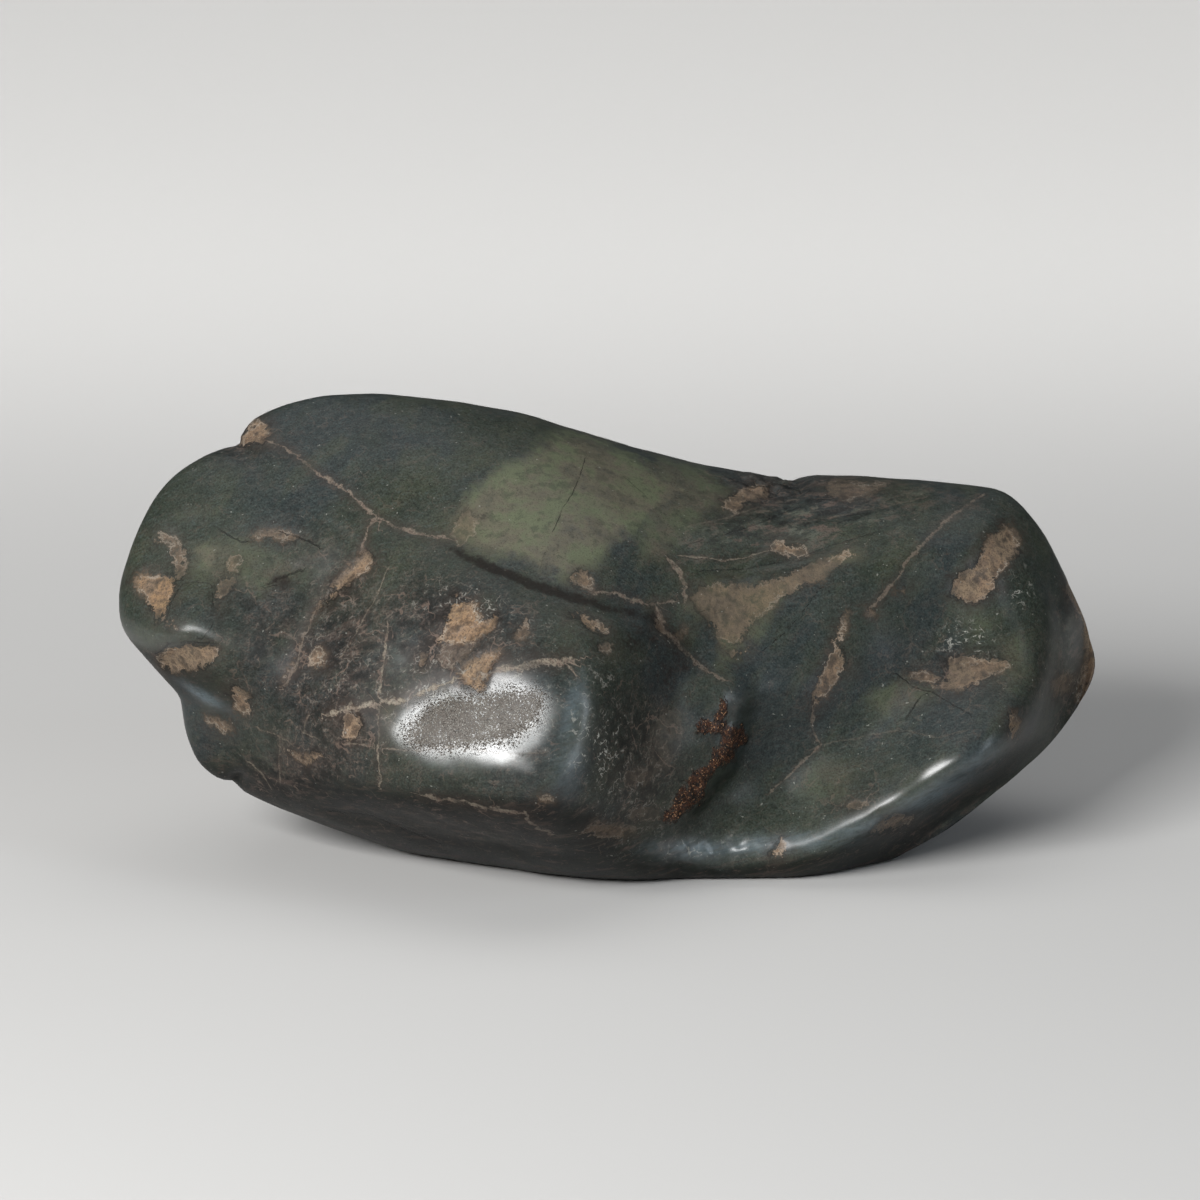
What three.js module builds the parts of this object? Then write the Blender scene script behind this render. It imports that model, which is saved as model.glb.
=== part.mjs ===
// A serpentine boulder, smoothed by a river: one natural stone, 222 mm long.
//
// The stone is one closed surface. Seen square on from the front it has an outline, the rim. A front relief
// comes forward of the rim and a back relief goes behind it, and both ease back to the rim at the outline.
// Millimetres, +Z up, X along the stone, -Y towards the front. In the lists below, "forward" is the distance
// in front of the plane y = 0, so forward = -y.

import * as THREE from 'three';
import { mergeVertices } from 'three/addons/utils/BufferGeometryUtils.js';

// ---- driving dimensions, mm

const CENTRE = { x: 0, z: 46 };             // where the rim's angles are counted from
const GRID = { along: 40, deep: 24, up: 24 };  // cells on each side of the box that is blown up into the stone
const WORN_FLAT = 1.5;                      // how softly the flat worn on the underside meets the sides

// The rim: [x, z, forward], anticlockwise from the right end.
const RIM = [
  // right end, and the flat top of the slab with its small notch
  [112, 39.5, -24], [110, 47.5, -26], [104.6, 59, -27], [99.2, 68.5, -29], [92.4, 75.2, -31],
  [85, 77, -32], [66, 78.2, -34], [49, 78.6, -35], [44, 77.3, -35], [34, 79.3, -34],
  // crown
  [21, 82.2, -32], [7.5, 86.6, -28], [-8.5, 92, -26], [-20, 95.8, -25], [-35, 99, -24],
  [-51, 100.8, -24], [-62.5, 100.6, -24], [-72.5, 98.8, -23], [-79.5, 96.2, -21], [-82.6, 93.3, -18],
  // notch where the fold leaves the outline, and the left lobe
  [-83.4, 91, -15], [-87.3, 90.4, -13], [-92.6, 88.6, -11], [-99.6, 83.8, -8], [-105, 75.6, -3],
  [-108.5, 66.4, 2], [-109.4, 60, 5], [-108.3, 54, 6], [-103.4, 47.5, 6], [-98, 40.4, 6],
  // underside
  [-96, 35.2, 6], [-94.4, 27.5, 5], [-91, 20.8, 4], [-82.5, 15, 2], [-69, 8.6, 0], [-57, 3.6, -2],
  [-45, -0.8, -4], [-24, -3.4, -3], [3, -3.9, 2], [30, -4, 6], [52, -3, 8], [62, -0.5, 9],
  [69, 2.8, 8], [77.5, 6.4, 4], [87, 11.8, -2], [96, 17, -9], [104, 22.6, -17], [109.6, 29.4, -22],
  [112, 34.6, -24],
];

// The front relief is a springy sheet laid through these points: [x, z, forward].
const FRONT = [
  // left lobe
  [-88, 88, 1], [-101, 80, 6], [-84, 75, 11.5], [-69, 74, 14], [-103, 69, 13], [-99, 63, 19],
  [-85, 64, 20.5], [-99, 59, 25], [-90, 56, 27], [-72, 63, 21.5], [-99, 50, 24], [-84, 46, 27],
  [-90, 39, 22], [-65, 85, 8],
  // trough beside it
  [-63, 57, 27], [-58, 74, 17.5],
  // low mass under the lobe
  [-76, 34, 27], [-85, 23, 17], [-69, 23, 30], [-58, 49, 36.5], [-58, 34, 41], [-69, 47, 30.5],
  // belly
  [-42, 53, 40.5], [-15, 56, 48.5], [-29, 55, 44.5], [-44, 41, 46.5], [-14, 45, 54], [-29, 45, 50.5],
  [-40, 33, 51], [-27, 33, 55.5], [-14, 35, 59], [-47, 67, 28], [-26, 67, 36], [-3, 50, 50],
  [-7, 62, 41], [-4, 32, 53],
  // the belly turning under
  [-47, 24, 43.5], [-29, 23, 48.5], [-11, 20, 49], [-70, 14, 23], [-58, 12, 26], [-45, 9, 27], [-28, 7, 30],
  [-10, 6, 36], [6, 5, 35],
  // hollow between belly and spur
  [4, 58, 35], [7, 42, 38], [10, 23, 38], [19, 35, 31], [16, 48, 27],
  // slab
  [26, 46, 22], [43, 36, 17], [55, 52, 8], [57, 26, 16.5], [40, 21, 18.5], [77, 40, 9],
  [77, 59, -2], [95, 58, -3], [35, 62, 6], [66, 75, -10], [34, 78, -7], [88, 72, -11], [66, 28, 17.5],
  [91, 42, 8], [97, 52, 1],
  // raised lip of the slab, and under it
  [19, 6, 28], [34, 7.5, 27.5], [47, 10, 27.5], [57, 15.5, 26.5], [66, 21.5, 26], [77, 28, 25],
  [86, 33, 22.5], [94, 37, 14], [100, 44, 4],
  [19, 1, 29], [34, 2, 28], [57, 3, 20], [79, 13, 9], [97, 22, 0], [107, 38, -14],
  // wall above the belly, and crown
  [-2, 75, 22], [-24, 83, 16], [-2, 87, 6], [16, 72, 13], [-40, 88, 9], [-60, 98, -5], [-35, 97, 0],
  [-74, 97, -7],
  // the slope carried on past the outline
  [-69, 103, -26], [-42, 107, -22], [-11, 101, -17], [34, 86, -30], [77, 85, -34], [100, 76, -30],
];
const SHEET_GIVE = 10;  // how far the sheet may miss its points: 0 is a tight fit
const SHEET_SOFTNESS = 6;  // rounds the peak the sheet would have at each point, mm

// Ledges cut into the front: a way of [x, z, depth], and the width of its left and right banks, looking along it.
const FOLD = {
  way: [
    [-78.5, 96, 0], [-69, 91, 1.8], [-60, 86, 1.8], [-52, 82, 2], [-44.5, 79.5, 3], [-37.5, 79, 4],
    [-28.5, 76.5, 5], [-19.5, 72.5, 5], [-10.5, 69, 5], [-1.5, 66.5, 5], [9.5, 64.5, 5],
    [18.5, 56.5, 2.5], [24.5, 50, 0],
  ],
  left: 16,
  right: 3,
};
const TROUGH = {
  way: [[-52, 82, 0], [-55.5, 75.5, 1.2], [-62.5, 68, 1.8], [-68, 57, 1.5], [-73.5, 45.5, 0]],
  left: 4,
  right: 5,
};
const SPUR = {
  way: [[35.5, 43.5, 0], [33, 38.5, 2.5], [32, 32, 4], [29, 24.5, 4], [22, 17, 3], [16.5, 11.5, 0]],
  left: 20,
  right: 3,
};
const END_STEP = {
  way: [[95, 69, 0], [101, 60.5, 2], [103.5, 52, 4], [104, 43, 4], [102, 33, 4], [97.5, 25, 0]],
  left: 9,
  right: 2.5,
};
const BACK_STEP = { way: [[-82, 96, 0], [-72, 84, 4], [-58, 68, 4], [-48, 50, 3], [-46, 34, 0]], left: 7, right: 4 };

// The slab's lip stands out along this way.
const LIP = {
  way: [
    [19, 6, 0], [32, 7, 1.4], [47, 10, 1.6], [57, 15, 1.4], [66, 21, 1.4], [77, 28, 1.2], [87, 34.5, 0.8],
    [93, 42, 0],
  ],
  left: 5,
  right: 5,
};
const KNOB = { x: 27, z: 44, half: [6, 4], turn: -20, height: 3 };

// The back is the outermost of three broad swells and a plain floor, with two shallow hollows.
const SWELLS = [
  { x: 8, z: 48, half: [92, 62], turn: 0, depth: 56 },
  { x: -62, z: 60, half: [48, 46], turn: -20, depth: 47 },
  { x: 76, z: 46, half: [42, 40], turn: 10, depth: 50 },
];
const SWELL_FALL = 14;   // how far a swell has fallen at its half axes
const BACK_FLOOR = 26;
const SWELL_BLEND = 2.5;
const HOLLOWS = [
  { x: -18, z: 30, half: [18, 15], turn: 20, height: 6 },
  { x: 36, z: 72, half: [20, 12], turn: -20, height: 4 },
];

// How the relief eases back to the rim: sqrt(1 - share^edge), with an edge for each angle about the centre.
// The larger the edge, the tighter the turn at the rim.
const EASE = {
  degrees: [-150, -90, -30, 0, 60, 120, 180],
  frontEdge: [5, 6, 9, 8, 7, 6, 5.5],
  backEdge: [3.5, 4.5, 4.5, 4.5, 2.6, 2.4, 3],
};

// ---- curves and small functions

/** A closed Catmull-Rom curve through the points, as a list of finer points. */
function closedCurve(points, parts = 24) {
  const curve = [];
  points.forEach((p1, i) => {
    const p0 = points.at(i - 1);
    const p2 = points[(i + 1) % points.length];
    const p3 = points[(i + 2) % points.length];
    for (let k = 0; k < parts; k++) {
      const t = k / parts;
      curve.push(p1.map((v, j) => 0.5 * (2 * v + (p2[j] - p0[j]) * t
        + (2 * p0[j] - 5 * v + 4 * p2[j] - p3[j]) * t ** 2
        + (3 * v - p0[j] - 3 * p2[j] + p3[j]) * t ** 3)));
    }
  });
  return curve;
}

/** Straight-line reading of a table whose keys go round a full turn. */
function roundTable(keys, values) {
  const order = keys.map((key, i) => [key, values[i]]).sort((a, b) => a[0] - b[0]);
  const turn = 2 * Math.PI;
  const first = order[0];
  const last = order.at(-1);
  const table = [[last[0] - turn, last[1]], ...order, [first[0] + turn, first[1]]];
  return (angle) => {
    let low = 0;
    let high = table.length - 1;
    while (high - low > 1) {
      const middle = (low + high) >> 1;
      if (table[middle][0] <= angle) low = middle;
      else high = middle;
    }
    const [[a, va], [b, vb]] = [table[low], table[high]];
    return va + (vb - va) * (angle - a) / (b - a);
  };
}

/** Solves the square system by elimination, taking the largest pivot each time. */
function solve(rows, right) {
  const n = right.length;
  const table = rows.map((row, i) => [...row, right[i]]);
  for (let i = 0; i < n; i++) {
    let pivot = i;
    for (let k = i + 1; k < n; k++) if (Math.abs(table[k][i]) > Math.abs(table[pivot][i])) pivot = k;
    [table[i], table[pivot]] = [table[pivot], table[i]];
    for (let k = i + 1; k < n; k++) {
      const share = table[k][i] / table[i][i];
      for (let j = i; j <= n; j++) table[k][j] -= share * table[i][j];
    }
  }
  const answer = new Array(n).fill(0);
  for (let i = n - 1; i >= 0; i--) {
    let sum = table[i][n];
    for (let j = i + 1; j < n; j++) sum -= table[i][j] * answer[j];
    answer[i] = sum / table[i][i];
  }
  return answer;
}

/** A thin plate bent as little as it can be through [x, z, height] points, as a function of x and z. */
function springySheet(points, give) {
  const n = points.length;
  const pull = (dx, dz) => {
    const square = dx * dx + dz * dz + SHEET_SOFTNESS ** 2;
    return 0.5 * square * Math.log(square);
  };
  const rows = points.map(([x, z], i) => [
    ...points.map(([px, pz], j) => pull(x - px, z - pz) + (i === j ? give : 0)), 1, x, z]);
  rows.push([...points.map(() => 1), 0, 0, 0]);
  rows.push([...points.map((p) => p[0]), 0, 0, 0]);
  rows.push([...points.map((p) => p[1]), 0, 0, 0]);
  const weight = solve(rows, [...points.map((p) => p[2]), 0, 0, 0]);
  return (x, z) => points.reduce(
    (sum, [px, pz], i) => sum + weight[i] * pull(x - px, z - pz),
    weight[n] + weight[n + 1] * x + weight[n + 2] * z);
}

/** Square of the distance from an oval's centre, 1 on the oval itself. */
function ovalShare({ x: cx, z: cz, half, turn }, x, z) {
  const angle = THREE.MathUtils.degToRad(turn);
  const u = Math.cos(angle) * (x - cx) + Math.sin(angle) * (z - cz);
  const v = -Math.sin(angle) * (x - cx) + Math.cos(angle) * (z - cz);
  return (u / half[0]) ** 2 + (v / half[1]) ** 2;
}

/** A bell-shaped rise over an oval. */
const bell = (oval, x, z) => oval.height * Math.exp(-ovalShare(oval, x, z));

/** The larger of several values, with the corner between them rounded. */
function softMax(values, blend) {
  const top = Math.max(...values);
  return top + blend * Math.log(values.reduce((sum, v) => sum + Math.exp((v - top) / blend), 0));
}

/** Depth of a bell-shaped channel along a way whose two banks have different widths. */
function channel({ way, left, right }, x, z) {
  const BLEND = 1.5;
  const near = way.slice(1).map(([x1, z1, h1], i) => {
    const [x0, z0, h0] = way[i];
    const [dx, dz] = [x1 - x0, z1 - z0];
    const length = Math.hypot(dx, dz);
    const t = THREE.MathUtils.clamp(((x - x0) * dx + (z - z0) * dz) / length ** 2, 0, 1);
    return {
      distance: Math.hypot(x - x0 - t * dx, z - z0 - t * dz),
      side: (dx * (z - z0) - dz * (x - x0)) / length,
      depth: h0 + (h1 - h0) * t,
    };
  });
  const nearest = Math.min(...near.map((part) => part.distance));
  let [total, side, depth] = [0, 0, 0];
  for (const part of near) {
    const weight = Math.exp((nearest - part.distance) / BLEND);
    total += weight;
    side += weight * part.side;
    depth += weight * part.depth;
  }
  return depth / total * Math.exp(-((nearest / (side > 0 ? left : right)) ** 2));
}

// ---- the stone's surface

const rimCurve = closedCurve(RIM);
const rimAngles = rimCurve.map(([x, z]) => Math.atan2(z - CENTRE.z, x - CENTRE.x));
const rimRadius = roundTable(rimAngles, rimCurve.map(([x, z]) => Math.hypot(x - CENTRE.x, z - CENTRE.z)));
const rimForward = roundTable(rimAngles, rimCurve.map((p) => p[2]));
const easeAngles = EASE.degrees.map((a) => THREE.MathUtils.degToRad(a));
const frontEdge = roundTable(easeAngles, EASE.frontEdge);
const backEdge = roundTable(easeAngles, EASE.backEdge);
const frontSheet = springySheet(FRONT, SHEET_GIVE);

/** How far forward the front relief stands at x, z. */
function front(x, z) {
  const cuts = [FOLD, TROUGH, SPUR, END_STEP].reduce((sum, cut) => sum + channel(cut, x, z), 0);
  return frontSheet(x, z) - cuts + channel(LIP, x, z) + bell(KNOB, x, z);
}

/** How far forward the back relief stands at x, z: always behind the rim. */
function back(x, z) {
  const swells = SWELLS.map((swell) => swell.depth - SWELL_FALL * ovalShare(swell, x, z) ** 2);
  const hollows = HOLLOWS.reduce((sum, hollow) => sum + bell(hollow, x, z), 0);
  return hollows + channel(BACK_STEP, x, z) - softMax([...swells, BACK_FLOOR], SWELL_BLEND);
}

/** Height with everything under the worn flat brought up to z = 0. */
function worn(z) {
  if (z < -WORN_FLAT) return 0;
  return z > WORN_FLAT ? z : (z + WORN_FLAT) ** 2 / (4 * WORN_FLAT);
}

/** The point of the stone's surface in a given direction from its middle. */
function surfacePoint(direction) {
  const share = Math.min(1, Math.hypot(direction.x, direction.z));
  const angle = Math.atan2(direction.z, direction.x);
  const rim = rimForward(angle);
  const x = CENTRE.x + share * rimRadius(angle) * Math.cos(angle);
  const z = CENTRE.z + share * rimRadius(angle) * Math.sin(angle);
  const facesFront = direction.y <= 0;
  const edge = facesFront ? frontEdge(angle) : backEdge(angle);
  const ease = Math.sqrt(1 - share ** edge);
  const relief = facesFront ? front(x, z) : back(x, z);
  return new THREE.Vector3(x, -(rim + (relief - rim) * ease), worn(z));
}

/** A box of quads blown up to a ball of directions, each of which is sent to the surface. */
function stoneGeometry() {
  const box = new THREE.BoxGeometry(2, 2, 2, GRID.along, GRID.deep, GRID.up);
  box.deleteAttribute('normal');
  box.deleteAttribute('uv');
  const ball = mergeVertices(box);
  const place = ball.getAttribute('position');
  const even = (v) => Math.tan(v * Math.PI / 4);
  for (let i = 0; i < place.count; i++) {
    const corner = new THREE.Vector3(even(place.getX(i)), even(place.getY(i)), even(place.getZ(i)));
    const point = surfacePoint(corner.normalize());
    place.setXYZ(i, point.x, point.y, point.z);
  }
  ball.computeBoundingBox();
  const middle = ball.boundingBox.getCenter(new THREE.Vector3());
  ball.translate(-middle.x, -middle.y, -ball.boundingBox.min.z);
  return ball;
}

const material = new THREE.MeshStandardMaterial({ color: 0x2b332d, roughness: 0.3, metalness: 0 });
const stone = new THREE.Mesh(stoneGeometry(), material);
stone.name = 'serpentine_stone';

const part = new THREE.Group();
part.add(stone);

export default part;
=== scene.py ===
# %% [markdown]
# # A river-smoothed serpentine stone
# The stone is one piece: a long, low boulder with a bulging belly, a deep fold above it, and a flat
# slab with a raised lip. Two things make it look real. Its form is one formula, drawn here again on
# a much finer grid than the solid part. Its markings are tan inclusions, pale patches, veins and
# cracks, each with its own place. The loose grain between them comes from noise.

# %% Start from the packed part
import math
from collections import namedtuple

import bpy
import numpy as np
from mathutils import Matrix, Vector


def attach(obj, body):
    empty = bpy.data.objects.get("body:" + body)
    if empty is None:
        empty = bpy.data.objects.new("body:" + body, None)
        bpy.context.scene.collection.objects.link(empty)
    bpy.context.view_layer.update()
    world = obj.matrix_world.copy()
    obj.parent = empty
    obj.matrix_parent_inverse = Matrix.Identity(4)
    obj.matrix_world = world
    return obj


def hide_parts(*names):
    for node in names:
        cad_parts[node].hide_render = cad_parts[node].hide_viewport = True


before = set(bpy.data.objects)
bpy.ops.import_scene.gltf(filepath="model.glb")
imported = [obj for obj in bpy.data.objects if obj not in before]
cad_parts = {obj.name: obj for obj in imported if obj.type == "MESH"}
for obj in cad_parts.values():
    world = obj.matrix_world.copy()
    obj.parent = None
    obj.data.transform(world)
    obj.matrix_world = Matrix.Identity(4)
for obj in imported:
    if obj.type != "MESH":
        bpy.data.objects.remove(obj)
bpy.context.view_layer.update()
MM = 0.001

# %% [markdown]
# ## The main form: the rim
# Seen square on from the front the stone has an outline, the rim. A front relief comes forward of
# the rim and a back relief goes behind it, and both ease back to the rim at the outline. A sculptor
# could work this up with brushes. A formula is used instead, because it gives the solid part and
# this finer skin exactly the same form. In the lists, "forward" is the distance in front of the
# plane y = 0. All lists are in millimetres.

# %% The rim: x, z, and how far forward the edge lies there
CENTRE = (0, 46)
RIM = [
    # right end, and the flat top of the slab with its small notch
    (112, 39.5, -24), (110, 47.5, -26), (104.6, 59, -27), (99.2, 68.5, -29), (92.4, 75.2, -31),
    (85, 77, -32), (66, 78.2, -34), (49, 78.6, -35), (44, 77.3, -35), (34, 79.3, -34),
    # crown
    (21, 82.2, -32), (7.5, 86.6, -28), (-8.5, 92, -26), (-20, 95.8, -25), (-35, 99, -24),
    (-51, 100.8, -24), (-62.5, 100.6, -24), (-72.5, 98.8, -23), (-79.5, 96.2, -21), (-82.6, 93.3, -18),
    # notch where the fold leaves the outline, and the left lobe
    (-83.4, 91, -15), (-87.3, 90.4, -13), (-92.6, 88.6, -11), (-99.6, 83.8, -8), (-105, 75.6, -3),
    (-108.5, 66.4, 2), (-109.4, 60, 5), (-108.3, 54, 6), (-103.4, 47.5, 6), (-98, 40.4, 6),
    # underside
    (-96, 35.2, 6), (-94.4, 27.5, 5), (-91, 20.8, 4), (-82.5, 15, 2), (-69, 8.6, 0), (-57, 3.6, -2),
    (-45, -0.8, -4), (-24, -3.4, -3), (3, -3.9, 2), (30, -4, 6), (52, -3, 8), (62, -0.5, 9),
    (69, 2.8, 8), (77.5, 6.4, 4), (87, 11.8, -2), (96, 17, -9), (104, 22.6, -17), (109.6, 29.4, -22),
    (112, 34.6, -24),
]
print("the rim has", len(RIM), "points")

# %% [markdown]
# ## The front, as soundings
# A sea chart gives depths at scattered places and the mind fills in the bottom between them. The
# front of the stone is given the same way: each row says how far forward the surface comes at one
# spot of the front view. A springy sheet is bent through them later. That needs far fewer numbers
# than a sculpted mesh and stays smooth.

# %% Soundings on the front: x, z, forward
FRONT = [
    # left lobe
    (-88, 88, 1), (-101, 80, 6), (-84, 75, 11.5), (-69, 74, 14), (-103, 69, 13), (-99, 63, 19),
    (-85, 64, 20.5), (-99, 59, 25), (-90, 56, 27), (-72, 63, 21.5), (-99, 50, 24), (-84, 46, 27),
    (-90, 39, 22), (-65, 85, 8),
    # trough beside it
    (-63, 57, 27), (-58, 74, 17.5),
    # low mass under the lobe
    (-76, 34, 27), (-85, 23, 17), (-69, 23, 30), (-58, 49, 36.5), (-58, 34, 41), (-69, 47, 30.5),
    # belly
    (-42, 53, 40.5), (-15, 56, 48.5), (-29, 55, 44.5), (-44, 41, 46.5), (-14, 45, 54), (-29, 45, 50.5),
    (-40, 33, 51), (-27, 33, 55.5), (-14, 35, 59), (-47, 67, 28), (-26, 67, 36), (-3, 50, 50),
    (-7, 62, 41), (-4, 32, 53),
    # the belly turning under
    (-47, 24, 43.5), (-29, 23, 48.5), (-11, 20, 49), (-70, 14, 23), (-58, 12, 26), (-45, 9, 27),
    (-28, 7, 30), (-10, 6, 36), (6, 5, 35),
    # hollow between belly and spur
    (4, 58, 35), (7, 42, 38), (10, 23, 38), (19, 35, 31), (16, 48, 27),
    # slab
    (26, 46, 22), (43, 36, 17), (55, 52, 8), (57, 26, 16.5), (40, 21, 18.5), (77, 40, 9),
    (77, 59, -2), (95, 58, -3), (35, 62, 6), (66, 75, -10), (34, 78, -7), (88, 72, -11), (66, 28, 17.5),
    (91, 42, 8), (97, 52, 1),
    # raised lip of the slab, and under it
    (19, 6, 28), (34, 7.5, 27.5), (47, 10, 27.5), (57, 15.5, 26.5), (66, 21.5, 26), (77, 28, 25),
    (86, 33, 22.5), (94, 37, 14), (100, 44, 4),
    (19, 1, 29), (34, 2, 28), (57, 3, 20), (79, 13, 9), (97, 22, 0), (107, 38, -14),
    # wall above the belly, and crown
    (-2, 75, 22), (-24, 83, 16), (-2, 87, 6), (16, 72, 13), (-40, 88, 9), (-60, 98, -5), (-35, 97, 0),
    (-74, 97, -7),
    # the slope carried on past the outline
    (-69, 103, -26), (-42, 107, -22), (-11, 101, -17), (34, 86, -30), (77, 85, -34), (100, 76, -30),
]
print(len(FRONT), "soundings, from", min(p[2] for p in FRONT), "to", max(p[2] for p in FRONT), "mm forward")

# %% [markdown]
# ## Ledges, lip and the back
# Where two layers of the rock meet, the surface steps: it drops sharply on one side and recovers
# slowly on the other. A soft sheet can't do that, so each step is a channel of its own along a way
# of a few points, with a different width on each side. The back is plainer, and three overlapping
# swells are enough for it.

# %% Channels of the front: a way of x, z, depth, then the width of its left and right bank
Channel = namedtuple("Channel", "way left right")
FOLD = Channel([
    (-78.5, 96, 0), (-69, 91, 1.8), (-60, 86, 1.8), (-52, 82, 2), (-44.5, 79.5, 3), (-37.5, 79, 4),
    (-28.5, 76.5, 5), (-19.5, 72.5, 5), (-10.5, 69, 5), (-1.5, 66.5, 5), (9.5, 64.5, 5),
    (18.5, 56.5, 2.5), (24.5, 50, 0)], 16, 3)
TROUGH = Channel([
    (-52, 82, 0), (-55.5, 75.5, 1.2), (-62.5, 68, 1.8), (-68, 57, 1.5), (-73.5, 45.5, 0)], 4, 5)
SPUR = Channel([
    (35.5, 43.5, 0), (33, 38.5, 2.5), (32, 32, 4), (29, 24.5, 4), (22, 17, 3), (16.5, 11.5, 0)], 20, 3)
END_STEP = Channel([
    (95, 69, 0), (101, 60.5, 2), (103.5, 52, 4), (104, 43, 4), (102, 33, 4), (97.5, 25, 0)], 9, 2.5)
BACK_STEP = Channel([(-82, 96, 0), (-72, 84, 4), (-58, 68, 4), (-48, 50, 3), (-46, 34, 0)], 7, 4)
LIP = Channel([
    (19, 6, 0), (32, 7, 1.4), (47, 10, 1.6), (57, 15, 1.4), (66, 21, 1.4), (77, 28, 1.2), (87, 34.5, 0.8),
    (93, 42, 0)], 5, 5)
for name, cut in {"fold": FOLD, "trough": TROUGH, "spur": SPUR, "end step": END_STEP}.items():
    print(name, "is up to", max(p[2] for p in cut.way), "mm deep")

# %% The knob of the front, and the swells of the back
Oval = namedtuple("Oval", "x z half turn height")
KNOB = Oval(27, 44, (6, 4), -20, 3)
SWELLS = [Oval(8, 48, (92, 62), 0, 56), Oval(-62, 60, (48, 46), -20, 47), Oval(76, 46, (42, 40), 10, 50)]
SWELL_FALL = 14  # mm that a swell has fallen at the edge of its oval
BACK_FLOOR = 26  # mm behind y = 0, where no swell reaches
SWELL_BLEND = 2.5  # mm over which swells run together
HOLLOWS = [Oval(-18, 30, (18, 15), 20, 6), Oval(36, 72, (20, 12), -20, 4)]

# How squarely the relief drops to the rim, by direction round it: 2 would be round, 9 is nearly square.
EASE_ANGLES = np.radians([-150, -90, -30, 0, 60, 120, 180])
FRONT_EDGE = [5, 6, 9, 8, 7, 6, 5.5]
BACK_EDGE = [3.5, 4.5, 4.5, 4.5, 2.6, 2.4, 3]
print("the back swells out to", max(swell.height for swell in SWELLS), "mm")

# %% [markdown]
# ## Two tools: a curve and a springy sheet
# Blender has curves and sculpting for this, but plain formulas are exact and quick on whole arrays.
# The rim is a spline that passes through its points. The sheet is a thin plate: of all surfaces
# through the soundings it is the one that bends least. A little give lets it pass close by rather
# than exactly through.

# %% Curve and sheet
SHEET_GIVE = 10  # how loosely the sheet holds to its soundings
SHEET_SOFTNESS = 6  # mm, rounds the sheet off at each sounding


def closed_curve(points, parts=24):
    """Catmull-Rom: between two points, a cubic that leaves along the chord of its neighbours."""
    p1 = np.array(points, float)[:, None]
    p0, p2, p3 = (np.roll(p1, shift, axis=0) for shift in (1, -1, -2))
    t = np.linspace(0, 1, parts, endpoint=False)[None, :, None]
    curve = 0.5 * (2 * p1 + (p2 - p0) * t + (2 * p0 - 5 * p1 + 4 * p2 - p3) * t**2
                   + (3 * p1 - p0 - 3 * p2 + p3) * t**3)
    return curve.reshape(-1, p1.shape[-1])


def springy_sheet(points, give):
    """A thin plate: a plane plus, for each point, a weight times half of distance squared times its log."""
    p = np.array(points, float)
    n = len(p)

    def pull(dx, dz):
        """Half of the squared distance times its log, softened so that it has no kink at 0."""
        square = dx**2 + dz**2 + SHEET_SOFTNESS**2
        return 0.5 * square * np.log(square)

    table = np.zeros((n + 3, n + 3))
    table[:n, :n] = pull(p[:, None, 0] - p[:, 0], p[:, None, 1] - p[:, 1]) + give * np.eye(n)
    table[:n, n:] = np.column_stack([np.ones(n), p[:, :2]])
    table[n:, :n] = table[:n, n:].T
    weight = np.linalg.solve(table, np.append(p[:, 2], [0, 0, 0]))

    def height(x, z):
        """The plane at that place, plus each point's weight times its pull."""
        plane = weight[n] + weight[n + 1] * x + weight[n + 2] * z
        return plane + sum(w * pull(x - px, z - pz) for (px, pz, _), w in zip(p, weight[:n]))

    return height


rim_curve = closed_curve(RIM)
front_sheet = springy_sheet(FRONT, SHEET_GIVE)
misses = [float(front_sheet(x, z)) - forward for x, z, forward in FRONT]
print("the sheet passes its soundings within", round(max(map(abs, misses)), 1), "mm")

# %% [markdown]
# ## Three more: bells, soft corners and channels
# A bell is a round rise that fades out. Soft maximum joins two swells without a crease. A channel
# is a bell swept along a way: at every point it needs only the distance to the way and the side on
# which the point lies.

# %% Bells, soft corners and channels
LEG_BLEND = 1.5  # mm over which two legs of a way share their bend


def oval_share(x, z, oval):
    """The square of the distance from an oval's centre, 1 on the oval itself."""
    c, s = math.cos(math.radians(oval.turn)), math.sin(math.radians(oval.turn))
    u = c * (x - oval.x) + s * (z - oval.z)
    v = c * (z - oval.z) - s * (x - oval.x)
    return (u / oval.half[0])**2 + (v / oval.half[1])**2


def bell(x, z, oval):
    """A rise that falls off as e to the minus oval share."""
    return oval.height * np.exp(-oval_share(x, z, oval))


def soft_max(values, blend):
    """The largest value, with the corners rounded: blend times the log of the sum of e^(value / blend)."""
    return blend * np.logaddexp.reduce(np.stack(values) / blend)


def along_way(x, z, way):
    """For each leg of a way: distance to it, signed distance to its line (left is positive), and
    the share of the leg at which it is nearest."""
    legs = []
    for (x0, z0), (x1, z1) in zip(way[:-1], way[1:]):
        dx, dz = x1 - x0, z1 - z0
        length = math.hypot(dx, dz)
        t = np.clip(((x - x0) * dx + (z - z0) * dz) / length**2, 0, 1)
        distance = np.hypot(x - x0 - t * dx, z - z0 - t * dz)
        side = (dx * (z - z0) - dz * (x - x0)) / length
        legs.append((distance, side, t))
    return (np.stack(part) for part in zip(*legs))


def channel(x, z, cut):
    """A bell across a way, as wide as left or right by the side it is on; legs blend by nearness."""
    distance, side, t = along_way(x, z, [p[:2] for p in cut.way])
    depths = np.array([p[2] for p in cut.way])
    depth = depths[:-1, None] + (depths[1:] - depths[:-1])[:, None] * t
    nearest = distance.min(0)
    weight = np.exp((nearest - distance) / LEG_BLEND)
    weight /= weight.sum(0)
    bank = np.where((weight * side).sum(0) > 0, cut.left, cut.right)
    return (weight * depth).sum(0) * np.exp(-(nearest / bank)**2)


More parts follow.
